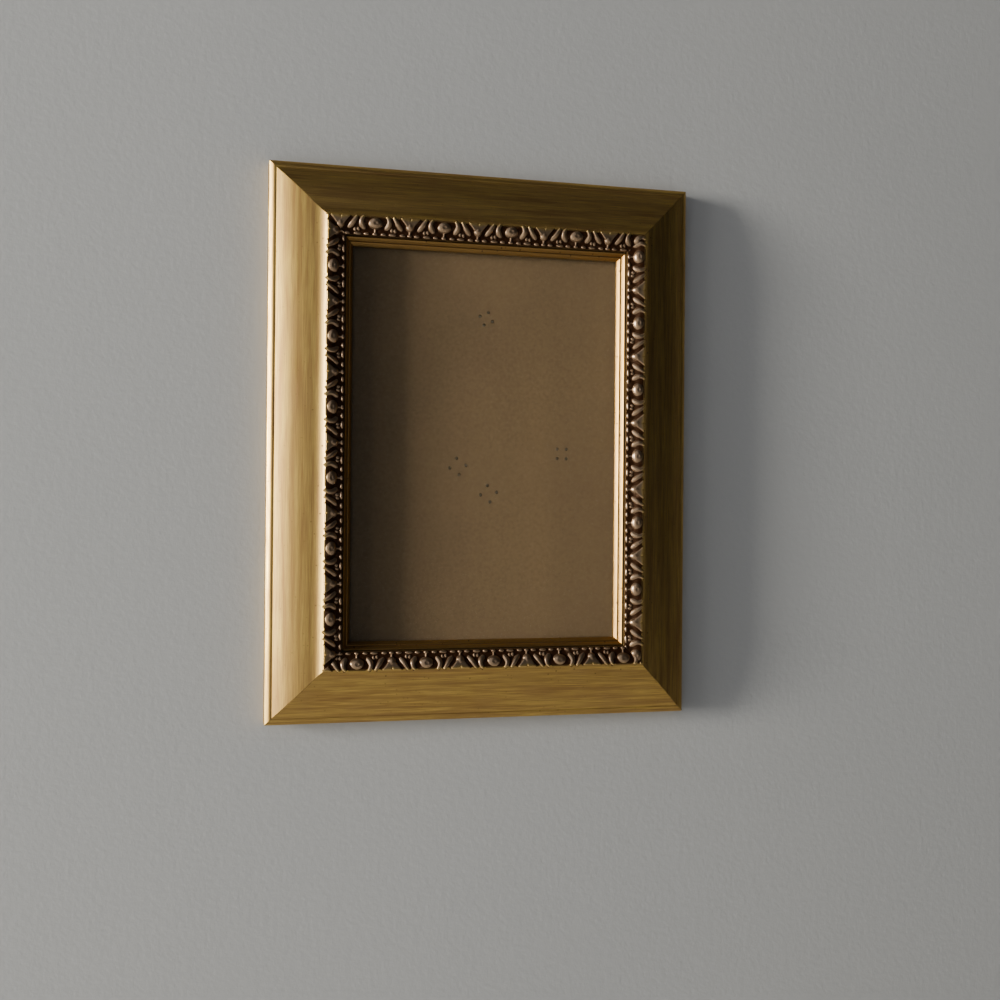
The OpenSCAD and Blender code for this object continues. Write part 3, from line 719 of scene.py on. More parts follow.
def plated_material(name, dark, bright, stain, rough):
    """Plated sheet metal with rolled streaks, dull stains and small spots."""
    material, tree, shader = new_material(name)
    place = add(tree, "TexCoord").outputs["Object"]
    streaks = group(tree, STREAKS, Vector=place, Fineness=1.6)
    wear = group(tree, WEAR, Vector=place, Stain_Scale=240.0, Speck_Scale=1600.0, Speck_Share=0.12)
    colour = mix_colour(tree, streaks["Broad"], dark, bright)
    colour = mix_colour(tree, times(tree, wear["Stain"], 0.5), colour, stain)
    rolled = spread(tree, streaks["Fine"], 0.0, 1.0, rough, rough + 0.08)
    feed(tree, shader, {
        "Base Color": mix_colour(tree, times(tree, wear["Specks"], 0.5), colour, dark),
        "Metallic": spread(tree, wear["Specks"], 0.0, 1.0, 0.95, 0.6),
        "Roughness": plus(tree, times(tree, wear["Stain"], 0.16), rolled),
    })
    bump(tree, shader, streaks["Height"], 0.12, 0.00004)
    return material


# Rails

def arc(centre, radius, start, end, steps):
    """Points on an arc, in degrees."""
    points = []
    for i in range(steps + 1):
        turn = math.radians(start + (end - start) * i / steps)
        points.append((centre[0] + radius * math.cos(turn), centre[1] + radius * math.sin(turn)))
    return points


def slope_height(share):
    """Height of the slope: it swells from its foot and hollows out below the ridge."""
    foot = SIDE_H + SLOPE_FOOT + FOOT_LIFT
    rise = RAIL_H - COVE_RISE - foot
    cove = max(0.0, share - COVE_SHARE) / (1 - COVE_SHARE)
    return foot + rise * (1 - (1 - share) ** SLOPE_SWELL) + (COVE_RISE - RIDGE_SINK) * cove ** COVE_HOLLOW


def moulding_profile():
    """The moulding's outline: distance from the outer edge, height above the wall."""
    points = [(0.0, 0.0), (0.0, SIDE_H / 2), *EDGE_ROLL]
    for i in range(SLOPE_STEPS + 1):
        points.append((SLOPE_U + (RIDGE_U - SLOPE_U) * i / SLOPE_STEPS, slope_height(i / SLOPE_STEPS)))
    start, ridge_r = math.radians(180 - RIDGE_FROM), RIDGE_W / 2
    ridge = (RIDGE_U + ridge_r * math.cos(start), RAIL_H - RIDGE_SINK - ridge_r * math.sin(start))
    points += arc(ridge, ridge_r, RIDGE_FROM, RIDGE_TO, RIDGE_STEPS)[1:]
    points += [(STRIP_OUT_U, SEAT_OUT_H), (STRIP_IN_U, SEAT_IN_H), *LIPS]
    points += [(RAIL_W, LIPS[-1][1] - LIP_EDGE_T), (RAIL_W, SHELF_H), (REBATE_U, SHELF_H)]
    points += [(REBATE_U, RELIEF_H), (RIM_W + RIM_BEVEL, RELIEF_H), (RIM_W, RELIEF_H - RIM_BEVEL)]
    return points + [(RIM_W, RIM_BEVEL), (RIM_W - RIM_BEVEL, 0.0)]


def cut(piece, point, normal, closed=True):
    """Cuts away what lies on the normal's side of a plane and closes the cut."""
    in_edit(piece)
    bpy.ops.mesh.bisect(
        plane_co=point, plane_no=normal, use_fill=closed, clear_outer=True, threshold=CUT_NEAR,
    )
    out_of_edit()


def mitred(piece, length):
    """Cuts both ends at 45 degrees, a hair short of the diagonal."""
    for side in (-1, 1):
        cut(piece, (side * (length / 2 - MITRE_GAP), 0, 0), (side, 0, 1))


def moulding_length(length):
    """One length of moulding along X, its outer edge at Z = 0 and the wall at Y = 0."""
    points = [(-length / 2, -height, across) for across, height in moulding_profile()]
    piece = drawn_out(points, (length, 0, 0))
    mitred(piece, length)

    def on_mitre(a, b):
        short = max(abs(length / 2 - MITRE_GAP - point.z - abs(point.x)) for point in (a, b))
        return a.x * b.x > 0 and short < TOUCH and max(-a.y, -b.y) > RELIEF_H + 0.5

    in_edit(piece, "EDGE", "DESELECT")
    pick_edges(piece, on_mitre)
    bpy.ops.mesh.bevel(offset=MITRE_BEVEL, segments=2, affect="EDGES")
    out_of_edit()
    return piece


def is_bare(face):
    """True for a face of the back, the relief or the rebate, which the gilding leaves out."""
    height, normal = -face.center.y, face.normal
    inward = normal.z > 0.7 and abs(normal.y) < 0.1 and face.center.z > RIM_W / 2
    return height < SHELF_H + 0.01 and (normal.y > 0.3 or inward) and abs(normal.x) < 0.5


def moulding_map(piece, start):
    """A UV map in metres, unfolded: along the rail from an egg's middle, then across it."""
    mesh = piece.data
    for name in [layer.name for layer in mesh.uv_layers]:
        mesh.uv_layers.remove(mesh.uv_layers[name])
    layer = mesh.uv_layers.new(name="moulding")
    for face in mesh.polygons:
        bare = is_bare(face)
        for index in face.loop_indices:
            place = mesh.vertices[mesh.loops[index].vertex_index].co
            shift = BARE_V + place.y if bare else min(0.0, -place.y - EDGE_ROLL[0][1])
            layer.data[index].uv = ((place.x - start) * MM, (place.z + shift) * MM)


def side_matrix(side):
    """From a rail's own axes to the whole frame's."""
    turns = {"bottom": 0, "top": 180, "left": 90, "right": -90}
    places = {
        "bottom": (0, WALL_Y, 0), "top": (0, WALL_Y, OUTER_H),
        "left": (-OUTER_W / 2, WALL_Y, OUTER_H / 2), "right": (OUTER_W / 2, WALL_Y, OUTER_H / 2),
    }
    return Matrix.Translation(places[side]) @ Matrix.Rotation(math.radians(turns[side]), 4, "Y")


def build_rails(material):
    """The four rails, whose maps start twelve patterns apart so that no two share their streaks."""
    for index, (side, length) in enumerate(SIDES):
        piece = moulding_length(length)
        moulding_map(piece, PHASES[side] - 12 * PITCH * index)
        finish_mesh(piece, 32)
        settle(piece, side_matrix(side))
        hand_in(piece, "moulding_" + side, "frame", "gilt_wood", material, "rail_" + side)


# Ornament

def as_mesh(line):
    """Turns a curve into a mesh."""
    only(line)
    bpy.ops.object.convert(target="MESH")
    return bpy.context.object


def stroke(points):
    """A tapering round stroke through (along, across, height, radius) points."""
    nothing_selected()
    bpy.ops.curve.primitive_nurbs_path_add()
    line = bpy.context.object
    spline = line.data.splines[0]
    while len(spline.points) < len(points):
        spline.points.add(1)
    for point, (x, v, w, radius) in zip(spline.points, points):
        point.co = (x, v, w, 1.0)
        point.radius = radius
    spline.order_u = 4
    spline.use_endpoint_u = True
    spline.resolution_u = 6
    line.data.bevel_depth = 1.0
    line.data.bevel_resolution = 3
    line.data.use_fill_caps = True
    return as_mesh(line)


def blob(place, size, turn=0.0):
    """A rounded lump: a sphere stretched, turned in the strip's plane and set in place."""
    nothing_selected()
    bpy.ops.mesh.primitive_uv_sphere_add(segments=24, ring_count=14, radius=1.0)
    piece = bpy.context.object
    shape = Matrix.Translation(place) @ Matrix.Rotation(turn, 4, "Z") @ Matrix.Diagonal((*size, 1.0))
    piece.data.transform(shape)
    return piece


def ground_height(across):
    """The ground's height above the strip's seat: rounded towards the ridge, low at the beads."""
    for (v0, low), (v1, high) in zip(GROUND, GROUND[1:]):
        if across <= v1:
            return low + (high - low) * max(0.0, across - v0) / (v1 - v0)
    return GROUND[-1][1]


def arrow_face():
    """The arrow's flat face, notched where it meets the ridge."""
    outline = ARROW_NOTCH + [(-x, v) for x, v in ARROW_SIDE] + ARROW_SIDE[::-1]
    return rounded(plate([(ARROW + x, v) for x, v in outline], 0, ARROW_T), ARROW_ROUND)


def half_motif():
    """Half a pattern, from the egg's middle to the arrow's."""
    ground = [(GROUND[0][0], -GROUND_SINK), *GROUND, (STRIP_V, -GROUND_SINK)]
    return join([
        drawn_out([(-GROUND_OVER, v, w) for v, w in ground], (ARROW + 2 * GROUND_OVER, 0, 0)),
        carve(blob(*EGG), blob(*DIMPLE)),
        stroke(EGG_STEM),
        stroke(CHEEK),
        *[blob(place, BUD_SIZE, math.radians(lean)) for place, lean in BUDS],
        stroke(LEAF),
        arrow_face(),
        blob(*ARROW_BULB),
        stroke(ARROW_STEM),
        *[blob((along, BEAD_V, BEAD_LIFT), (reach, *BEAD_R)) for along, reach in BEADS],
    ])


def cast_half():
    """The half pattern fused, softened and cut to its exact length."""
    piece = half_motif()
    shaped(piece, "REMESH", mode="VOXEL", voxel_size=VOXEL)
    shaped(piece, "SMOOTH", factor=SOFTENING, iterations=SOFTENINGS)
    cut(piece, (0, 0, 0), (-1, 0, 0), closed=False)
    cut(piece, (ARROW, 0, 0), (1, 0, 0), closed=False)
    return piece


def whole_motif():
    """The half pattern and its mirror image."""
    piece = cast_half()
    twin = copy_of(piece, "twin")
    twin.data.transform(Matrix.Diagonal((-1, 1, 1, 1)))
    in_edit(twin)
    bpy.ops.mesh.flip_normals()
    out_of_edit()
    return fused([piece, twin])


def held(value):
    """A value kept between 0 and 1."""
    return min(1.0, max(0.0, value))


def relief_map(piece):
    """Each point's height above the ground for the wash and painted shade, and its nearness to the ridge for
    the gold.
    """
    relief = piece.data.attributes.new("relief", "FLOAT", "POINT")
    rim = piece.data.attributes.new("rim", "FLOAT", "POINT")
    for index, vertex in enumerate(piece.data.vertices):
        along, across, height = vertex.co
        relief.data[index].value = held((height - ground_height(across) - WASH_SHADE_TOP) / WASH_SHADE_FADE)
        nearness = max(0.0, 1 - abs(ARROW - abs(along)) / RIM_REACH)
        rim.data[index].value = held(RIM_LEAST + RIM_GAIN * nearness - across)


def cast_strip(motif, side, length):
    """Patterns side by side along a rail, at the places where the photograph has them."""
    count = math.ceil(length / PITCH / 2) + 1
    copies = []
    for i in range(-count, count + 1):
        along = i * PITCH + PHASES[side]
        if abs(along) < length / 2 - STRIP_OUT_U + ARROW:
            one = copy_of(motif, "pattern")
            one.data.transform(Matrix.Translation((along, 0, 0)))
            copies.append(one)
    return fused(copies)


def build_ornament(material):
    motif = whole_motif()
    relief_map(motif)
    tilt = Matrix.Rotation(math.pi / 2 - STRIP_TILT, 4, "X")
    seat = Matrix.Translation((0, -SEAT_OUT_H, STRIP_OUT_U)) @ tilt
    for side, length in SIDES:
        piece = cast_strip(motif, side, length)
        piece.data.transform(seat)
        mitred(piece, length)
        cut(piece, seat.translation, seat.to_3x3() @ Vector((0, 0, -1)))
        finish_mesh(piece, 60, flats=False)
        settle(piece, side_matrix(side))
        hand_in(piece, "cast_strip_" + side, "frame", "gilt_ornament", material, "ornament_" + side)
    bpy.data.objects.remove(motif)


# Glass and back

def on_board(x, z, turn=0.0):
    """Axes on the board's rear face: X across, Y down, Z out of the back."""
    place = Matrix.Translation((x, WALL_Y - BOARD_BACK_H, OUTER_H / 2 + z))
    return place @ Matrix.Rotation(turn, 4, "Y") @ Matrix.Rotation(-math.pi / 2, 4, "X")


AT_BOARD = on_board(0, 0)
AT_STRUT = on_board(STRUT_X, STRUT_Z, STRUT_TURN)
AT_HANGER = on_board(0, HANGER_Z)
AT_SIDE_HANGER = on_board(SIDE_HANGER_X, SIDE_HANGER_Z, math.pi / 2)


def rivet_places():
    """Each pronged rivet: its axes, the radius of its prongs' circle and its seat's height."""
    places = []
    for side in (-1, 1):
        place = AT_STRUT @ Matrix.Translation((side * STRUT_RIVET_SPAN / 2, 0, 0))
        places.append((place @ Matrix.Rotation(STRUT_TURN, 4, "Z"), STRUT_PRONG_RING, LEAF_T))
    for place, turn in ((AT_HANGER, HANGER_RIVET_TURN), (AT_SIDE_HANGER, SIDE_RIVET_TURN)):
        turned_place = place @ Matrix.Rotation(math.radians(turn), 4, "Z")
        places.append((turned_place, HANGER_PRONG_RING, 2 * STRAP_T))
    return places


def prong_spots(ring):
    """Four places on a circle, a quarter turn apart."""
    turns = (turn * math.pi / 2 for turn in range(4))
    return [(ring * math.cos(turn), ring * math.sin(turn)) for turn in turns]


def rectangle(width, height, corner=0.0, steps=4):
    """A centred rectangle's outline with rounded corners."""
    points = []
    for turn, (x, y) in enumerate(((1, 1), (-1, 1), (-1, -1), (1, -1))):
        middle = (x * (width / 2 - corner), y * (height / 2 - corner))
        points += arc(middle, corner, 90 * turn, 90 * turn + 90, steps)
    return points


def build_glass(material):
    outline = rectangle(PICTURE_W - 2 * GLASS_FIT, PICTURE_H - 2 * GLASS_FIT, GLASS_CORNER_R)
    piece = plate(outline, -BOARD_T - GLASS_T, -BOARD_T - GLASS_GAP)
    rounded(piece, ROUND["glass"])
    finish_mesh(piece)
    settle(piece, AT_BOARD)
    hand_in(piece, "glass_pane", "frame", "clear_glass", material, "glass")


def burrs_round(spot, axes, stray):
    """The burrs that a prong raised round its hole, away from its rivet's middle."""
    middle = Vector((*spot, 0))
    outwards = middle.normalized()
    across = Vector((-outwards.y, outwards.x, 0))
    burrs = []
    for step in range(BURR_STEPS):
        lean = (step - 1) * BURR_LEAN + BURR_STRAY * math.sin(stray)
        at = middle + outwards * (BURR_OUT + BURR_SPREAD * step) + across * lean
        turn = math.atan2(outwards.y, outwards.x) + 0.5 * lean
        burr = blob((at.x, at.y, -BOARD_T + BURR_SINK), BURR_SIZE, turn)
        burr.data.transform(axes)
        burrs.append(burr)
    return burrs


def build_board(material):
    """The back, with a torn pit round each prong's tip on its front."""
    piece = plate(rectangle(PICTURE_W, PICTURE_H, BOARD_CORNER_R), -BOARD_T, 0)
    rounded(piece, ROUND["board"])
    pits, burrs = [], []
    for index, (place, ring, _) in enumerate(rivet_places()):
        axes = AT_BOARD.inverted() @ place
        for number, spot in enumerate(prong_spots(ring)):
            pit = peg(spot, PIT_R, -BOARD_T - PIT_OUT, -BOARD_T + PIT_DEEP, PIT_MOUTH_R)
            pit.data.transform(axes)
            pits.append(pit)
            burrs += burrs_round(spot, axes, 5 * index + 3 * number)
    carve(piece, join(pits))
    join([piece, *burrs])
    finish_mesh(piece)
    settle(piece, AT_BOARD)
    hand_in(piece, "hardboard_back", "frame", "brown_hardboard", material, "backboard")


def leaf_rivet_spots():
    return [(side * LEAF_RIVET_SPAN / 2, LEAF_RIVET_DROP) for side in (-1, 1)]


def build_strut(material):
    """The strut flares towards its foot, whose edges follow the frame's rim."""
    outline = [
        (-STRUT_TOP_W / 2, STRUT_TOP), (STRUT_TOP_W / 2, STRUT_TOP),
        (STRUT_FOOT_W / 2, STRUT_END), (-STRUT_FOOT_W / 2, STRUT_END),
    ]
    piece = plate(outline, STRUT_UNDER, LEAF_UNDER)
    for spot in leaf_rivet_spots():
        carve(piece, peg(spot, LEAF_RIVET_R + RIVET_FIT, -PAST, LEAF_OVER + PAST))
    piece.data.transform(AT_STRUT)
    cut(piece, (-OUTER_W / 2 + FOOT_U, 0, 0), (-1, 0, 0))
    cut(piece, (0, 0, FOOT_U), (0, 0, -1))
    rounded(piece, ROUND["strut"], 3)
    finish_mesh(piece)
    settle(piece, Matrix.Identity(4))
    hand_in(piece, "strut_board", "strut", "brown_hardboard", material, "strut")


# Hardware

def dome(radius, low, height, rim=0.2):
    """A closed outline for a domed head."""
    crown = []
    for i in range(DOME_STEPS):
        turn = math.radians(90 * i / DOME_STEPS)
        crown.append((radius * math.cos(turn), low + rim + (height - rim) * math.sin(turn)))
    return [(0, low), (radius - DOME_EDGE, low), (radius, low + DOME_EDGE), *crown, (0, low + height)]


def prong_rivet(ring, seat):
    """A pressed rivet: a domed head with the openings that its four prongs were bent from."""
    head = turned(dome(ring + PRONG_R + RIVET_MARGIN, seat, RIVET_T))
    slots = []
    for x, y in prong_spots(ring - PRONG_SLOT_IN):
        low = (x - PRONG_SLOT, y - PRONG_SLOT, seat + PRONG_SLOT_RISE)
        slots.append(block(low, (x + PRONG_SLOT, y + PRONG_SLOT, seat + PAST)))
    carve(head, join(slots))
    rounded(head, ROUND["rivet"], 2, 50)
    low, high = -BOARD_T + PRONG_SHORT, seat + PRONG_IN
    return join([head, *[peg(spot, PRONG_R, low, high, PRONG_TIP_R) for spot in prong_spots(ring)]])


def build_board_rivets(material):
    pieces = []
    for place, ring, seat in rivet_places():
        piece = prong_rivet(ring, seat)
        piece.data.transform(place)
        pieces.append(piece)
    piece = join(pieces)
    finish_mesh(piece, 50)
    settle(piece, Matrix.Identity(4))
    hand_in(piece, "claw_rivets", "frame", "zinc_steel", material, "board_rivets")


def build_strut_rivets(material):
    """Two rivets, each a head on the leaf, a washer under the strut and a shank."""
    pieces = []
    for spot in leaf_rivet_spots():
        head = turned(dome(LEAF_RIVET_HEAD_R, LEAF_OVER, RIVET_T))
        washer = turned(dome(LEAF_RIVET_HEAD_R, STRUT_UNDER / 2, STRUT_UNDER / 2, 0.1))
        for one in (head, washer):
            one.data.transform(Matrix.Translation((*spot, 0)))
        pieces += [head, washer, peg(spot, LEAF_RIVET_R, STRUT_UNDER - 0.1, LEAF_OVER + 0.1)]
    piece = join(pieces)
    finish_mesh(piece, 50)
    settle(piece, AT_STRUT)
    hand_in(piece, "leaf_rivets", "strut", "zinc_steel", material, "strut_rivets")


def curl(start, end, steps=20):
    """A leaf's edge rolled round the pin, from the side."""
    pin = (PIN_DROP, PIN_LIFT)
    return [*arc(pin, KNUCKLE_R, start, end, steps), *arc(pin, PIN_R + PIN_FIT, end, start, steps)]


def build_board_leaf(material):
    """The leaf on the board, with a gap in its roll for the strut leaf's knuckle."""
    piece = sheet([(-BOARD_LEAF_L, 0), *curl(-90, 205), (-BOARD_LEAF_L, LEAF_T)], HINGE_L)
    half = HINGE_L / 2 - ((HINGE_L - KNUCKLE_L) / 2 - KNUCKLE_GAP)
    reach = KNUCKLE_R + KNUCKLE_GAP
    gap = block((-half, PIN_DROP - reach, -PAST), (half, PIN_DROP + reach, LEAF_OVER + PAST))
    rounded(carve(piece, gap), ROUND["hinge"])
    finish_mesh(piece)
    settle(piece, AT_STRUT)
    hand_in(piece, "hinge_leaf_board", "frame", "zinc_steel", material, "hinge_board_leaf")


def build_strut_leaf(material):
    """The leaf on the strut, with its knuckle and the heel that meets the board's leaf."""
    half, wide, end, heel = KNUCKLE_L / 2, STRUT_LEAF_W / 2, PIN_DROP + STRUT_LEAF_L, PIN_DROP - HEEL_L
    side, low = wide - LEAF_CORNER_R, end - LEAF_CORNER_R
    leaf = plate([
        (-half, heel), (half, heel), (half, STRUT_TOP), (wide, STRUT_TOP),
        *arc((side, low), LEAF_CORNER_R, 0, 90, 6), *arc((-side, low), LEAF_CORNER_R, 90, 180, 6),
        (-wide, STRUT_TOP), (-half, STRUT_TOP),
    ], LEAF_UNDER, LEAF_OVER)
    piece = join([rounded(one, ROUND["hinge"]) for one in (leaf, sheet(curl(75, 400), KNUCKLE_L))])
    finish_mesh(piece)
    settle(piece, AT_STRUT)
    hand_in(piece, "hinge_leaf_strut", "strut", "zinc_steel", material, "hinge_strut_leaf")


def build_pin(material):
    """The hinge's pin with its two ends spread."""
    length, head_t, head_r = HINGE_L / 2 + PIN_FIT, LEAF_T / 2, PIN_R + PIN_FIT + LEAF_T / 3
    end = [
        (PIN_R, length), (head_r, length), (head_r, length + head_t / 2),
        (head_r - PIN_HEAD_ROUND, length + head_t), (0, length + head_t),
    ]
    piece = turned([(radius, -along) for radius, along in end[::-1]] + end, 32)
    finish_mesh(piece)
    lie = AT_STRUT @ Matrix.Translation((0, PIN_DROP, PIN_LIFT)) @ Matrix.Rotation(math.pi / 2, 4, "Y")
    settle(piece, lie)
    hand_in(piece, "hinge_wire", "frame", "zinc_steel", material, "hinge_pin")


def hanger_strap():
    """A strap folded over the ring's bar, its two layers held by the rivet."""
    bar, eye = (-BAR_UP, EYE_R), -BAR_UP + EYE_R
    piece = sheet([
        (STRAP_TAIL, 0), *arc(bar, EYE_R, 270, 20, 24),
        *[(eye + along, 2 * STRAP_T + rise) for along, rise in STRAP_BEND],
        (STRAP_TAIL, 2 * STRAP_T), (STRAP_TAIL, STRAP_T + STRAP_SLIT), (eye, STRAP_T + STRAP_SLIT),
        *arc(bar, EYE_R - STRAP_T, 5, 270, 24), (STRAP_TAIL, STRAP_T - STRAP_SLIT),
    ], STRAP_W)
    carve(piece, strap_shape(), "INTERSECT")
    return rounded(piece, ROUND["strap"], 2, 50)


def strap_shape():
    """What the strap keeps: a rounded tail, trimmed a hair inside its long edges."""
    half, top = STRAP_W / 2, -BAR_UP - EYE_R - PAST
    end = arc((0, STRAP_TAIL - STRAP_END_R), STRAP_END_R, 0, 180, 32)
    end = [(x, y) for x, y in end if abs(x) < half]
    outline = [(half, top), (half, end[0][1]), *end, (-half, end[-1][1]), (-half, top)]
    shape = plate(outline, -PAST, 2 * EYE_R + PAST)
    shape.data.transform(Matrix.Diagonal((STRAP_TRIM, 1, 1, 1)))
    return shape


def ring_path():
    """The ring's wire from above: a half circle closed by its bar, with rounded corners."""
    corner = RING_CORNER_R
    lift = math.degrees(math.asin(corner / (BOW_R - corner)))
    reach = math.sqrt((BOW_R - corner) ** 2 - corner ** 2)
    path = arc((0, 0), BOW_R, 180 + lift, 360 - lift, 48)
    path += arc((reach, -corner), corner, -lift, 90, 10)
    path += [(reach * step / 4, 0) for step in range(3, -4, -1)]
    path += arc((-reach, -corner), corner, 90, 180 + lift, 10)[:-1]
    return path


def d_ring():
    """A ring of bent wire."""
    path = ring_path()
    nothing_selected()
    bpy.ops.curve.primitive_nurbs_circle_add()
    line = bpy.context.object
    line.data.splines.clear()
    spline = line.data.splines.new("POLY")
    spline.points.add(len(path) - 1)
    for point, (x, y) in zip(spline.points, path):
        point.co = (x, y, 0, 1)
    spline.use_cyclic_u = True
    line.data.dimensions = "3D"
    line.data.bevel_depth = WIRE_R
    line.data.bevel_resolution = 6
    piece = as_mesh(line)
    piece.data.transform(Matrix.Translation((0, -BAR_UP, EYE_R)))
    return piece


def build_hangers(material):
    for place, name in ((AT_HANGER, "upright"), (AT_SIDE_HANGER, "sideways")):
        strap = hanger_strap()
        finish_mesh(strap)
        settle(strap, place)
        hand_in(strap, "strap_" + name, "frame", "brassed_steel", material, "hanger_" + name)
        ring = d_ring()
        finish_mesh(ring, 60, TOUCH, False)
        settle(ring, place)
        hand_in(ring, "wire_ring_" + name, "ring_" + name, "brassed_steel", material, "ring_" + name)


def on_relief(side, place):
    """Axes on a rail's relief: Y towards the opening, Z out of the back."""
    axes = Matrix(((-1, 0, 0, 0), (0, 0, 1, 0), (0, 1, 0, 0), (0, 0, 0, 1)))
    return side_matrix(side) @ Matrix.Translation((place, -RELIEF_H, BUTTON_U)) @ axes


BUTTONS = (
    ("button_top", "top", 0), ("button_bottom", "bottom", 0),
    ("button_left_upper", "left", -BUTTON_SPREAD), ("button_left_lower", "left", BUTTON_SPREAD),
    ("button_right_upper", "right", BUTTON_SPREAD), ("button_right_lower", "right", -BUTTON_SPREAD),
)


def turn_button():
    """A pear-shaped stamping with a hole for its screw."""
    tip = BUTTON_REACH - BUTTON_TIP_R
    lean = math.degrees(math.asin((BUTTON_R - BUTTON_TIP_R) / tip))
    outline = arc((0, 0), BUTTON_R, 180 - lean, 360 + lean, 36)
    outline += arc((0, tip), BUTTON_TIP_R, lean, 180 - lean, 20)
    piece = plate(outline, BUTTON_LIFT, BUTTON_LIFT + BUTTON_T)
    carve(piece, peg((0, 0), SCREW_R + SCREW_FIT, -PAST, 3 * PAST))
    return rounded(piece, ROUND["button"], 3, 50)


def slotted_screw():
    """A screw with a domed, slotted head."""
    seat = BUTTON_T + 2 * BUTTON_LIFT
    head = turned(dome(SCREW_HEAD_R, seat, SCREW_HEAD_T, SCREW_HEAD_RIM))
    reach = SCREW_HEAD_R + PAST
    floor = seat + SCREW_HEAD_T - SLOT_D
    carve(head, block((-reach, -SLOT_W / 2, floor), (reach, SLOT_W / 2, seat + 3 * PAST)))
    rounded(head, ROUND["screw"], 2, 50)
    return join([head, peg((0, 0), SCREW_R, -SCREW_L, seat + SCREW_IN, SCREW_TIP_R)])


def build_buttons(material):
    pattern, screw = turn_button(), slotted_screw()
    screws = []
    for index, (name, side, place) in enumerate(BUTTONS):
        axes = on_relief(side, place)
        piece = copy_of(pattern, name)
        finish_mesh(piece)
        settle(piece, axes)
        hand_in(piece, "turn_" + name, name, "brassed_steel", material, name)
        one = copy_of(screw, "screw")
        turn = math.radians(SCREW_TURN + SCREW_TURN_STEP * index)
        one.data.transform(axes @ Matrix.Rotation(turn, 4, "Z"))
        screws.append(one)
    piece = join(screws)
    finish_mesh(piece, 40)
    settle(piece, Matrix.Identity(4))
    hand_in(piece, "slotted_screws", "frame", "brassed_steel", material, "button_screws")
    for spent in (pattern, screw):
        bpy.data.objects.remove(spent)


# Stage

def look(yaw, pitch, roll):
    """A camera's turn from its yaw to the right, its pitch up and its roll, in degrees."""
    yaw, pitch, roll = (math.radians(one) for one in (yaw, pitch, roll))
    ahead = Vector((math.sin(yaw) * math.cos(pitch), math.cos(yaw) * math.cos(pitch), math.sin(pitch)))
    right = Vector((math.cos(yaw), -math.sin(yaw), 0))
    up = right.cross(ahead)
    across = math.cos(roll) * right + math.sin(roll) * up
    above = -math.sin(roll) * right + math.cos(roll) * up
    return Matrix((across, above, -ahead)).transposed().to_4x4()


def set_camera():
    camera = bpy.data.objects.new("camera", bpy.data.cameras.new("camera"))
    bpy.context.scene.collection.objects.link(camera)
    camera.data.lens = CAMERA_LENS
    camera.data.sensor_width = SENSOR_W
    camera.data.clip_start = 0.01
    camera.matrix_world = Matrix.Translation(CAMERA_AT) @ look(CAMERA_YAW, CAMERA_PITCH, CAMERA_ROLL)
    bpy.context.scene.camera = camera


def wall_material():
    """Painted wall: a pale grey with a roller's faint stipple, unseen from behind."""
    material, tree, shader = new_material("wall_paint")
    place = add(tree, "TexCoord").outputs["Object"]
    cloud = noise(tree, place, 3.0)
    feed(tree, shader, {"Base Color": mix_colour(tree, cloud, *WALL_TONES), "Roughness": 0.6})
    bump(tree, shader, noise(tree, place, 420.0, 4.0, 0.55), 0.25, 0.0004)
    see_through(tree, shader, add(tree, "NewGeometry").outputs["Backfacing"])
    return material


def floor_material():
    material, tree, shader = new_material("pale_floor")
    cloud = noise(tree, add(tree, "TexCoord").outputs["Object"], 2.0)
    feed(tree, shader, {"Base Color": mix_colour(tree, cloud, *FLOOR_TONES), "Roughness": 0.7})
    return material


def plane(name, place, turn, material):
    """A large square of the stage."""
    nothing_selected()
    bpy.ops.mesh.primitive_plane_add(size=STAGE_SIZE)
    piece = bpy.context.object
    piece.name = name
    piece.data.transform(Matrix.Translation(place) @ turn)
    piece.data.materials.append(material)
    return piece


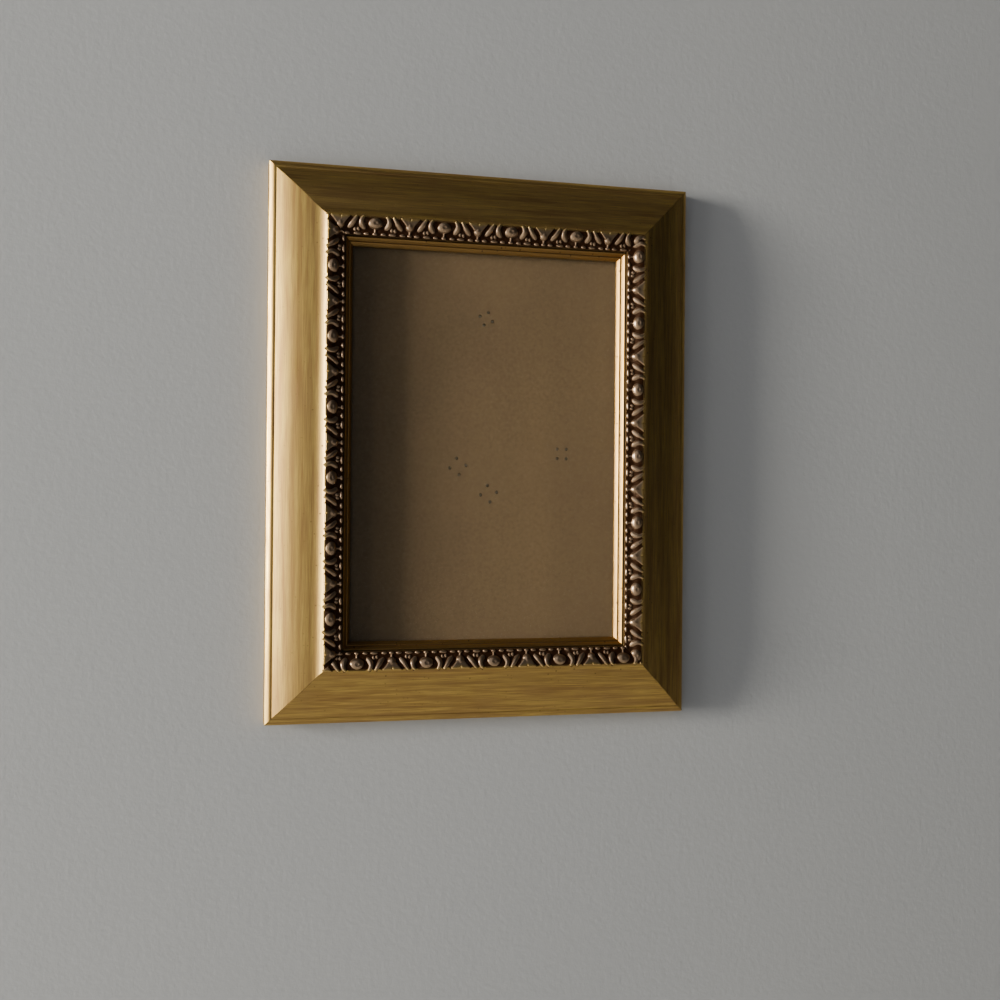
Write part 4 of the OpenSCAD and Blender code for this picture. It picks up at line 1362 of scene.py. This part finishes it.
def lamp(name, kind, power, place, aim, size=(0.5, 0.5), colour=(1, 1, 1)):
    """A lamp at a place, turned towards its aim."""
    data = bpy.data.lights.new(name, kind)
    data.energy = power
    data.color = colour
    if kind == "AREA":
        data.shape = "RECTANGLE"
        data.size, data.size_y = size
    light = bpy.data.objects.new(name, data)
    bpy.context.scene.collection.objects.link(light)
    turn = (Vector(aim) - Vector(place)).normalized().to_track_quat("-Z", "Y")
    light.matrix_world = Matrix.Translation(place) @ turn.to_matrix().to_4x4()
    return light


def direction(out, up):
    """Towards the left: degrees out from the wall, degrees above level."""
    out, up = math.radians(out), math.radians(up)
    return Vector((-math.cos(out) * math.cos(up), -math.sin(out) * math.cos(up), math.sin(up)))


def set_room():
    """The room's own faint light."""
    world = bpy.data.worlds.new("room")
    world.use_nodes = True
    background = world.node_tree.nodes["Background"]
    feed(world.node_tree, background, {0: ROOM_COLOUR, 1: ROOM_POWER})
    bpy.context.scene.world = world


def set_stage():
    upright = Matrix.Rotation(math.pi / 2, 4, "X")
    wall = plane("wall", (0, WALL_Y * MM + WALL_GAP, 0), upright, wall_material())
    wall.visible_shadow = False
    plane("floor", (0, 0, FLOOR_Z), Matrix.Identity(4), floor_material())
    for name, power, distance, angles, size, colour in LAMPS:
        lamp(name, "AREA", power, CENTRE + distance * direction(*angles), CENTRE, size, colour)
    lamp("bounce", "AREA", BOUNCE_POWER, CENTRE + Vector(BOUNCE_AT), CENTRE + Vector(BOUNCE_AIM))
    behind = lamp("behind", "SUN", BEHIND_POWER, CENTRE + Vector((0, 1, 0)), CENTRE)
    behind.data.angle = math.radians(BEHIND_ANGLE)
    set_room()


# The scene

set_camera()
set_stage()
build_rails(gilt_material())
build_ornament(ornament_material())
build_glass(glass_material())
build_board(hardboard_material("tan_hardboard", *BACK_TONES))
build_strut(hardboard_material("dark_hardboard", *STRUT_TONES))
ZINC = plated_material("zinc_plate", *ZINC_TONES, 0.3)
BRASS = plated_material("brass_plate", *BRASS_TONES, 0.22)
for build in (build_board_rivets, build_strut_rivets, build_board_leaf, build_strut_leaf, build_pin):
    build(ZINC)
build_hangers(BRASS)
build_buttons(BRASS)
for node in bpy.data.objects:
    if node.name.split(".")[0] == "corner_nails":
        node.data.materials.clear()
        node.data.materials.append(ZINC)
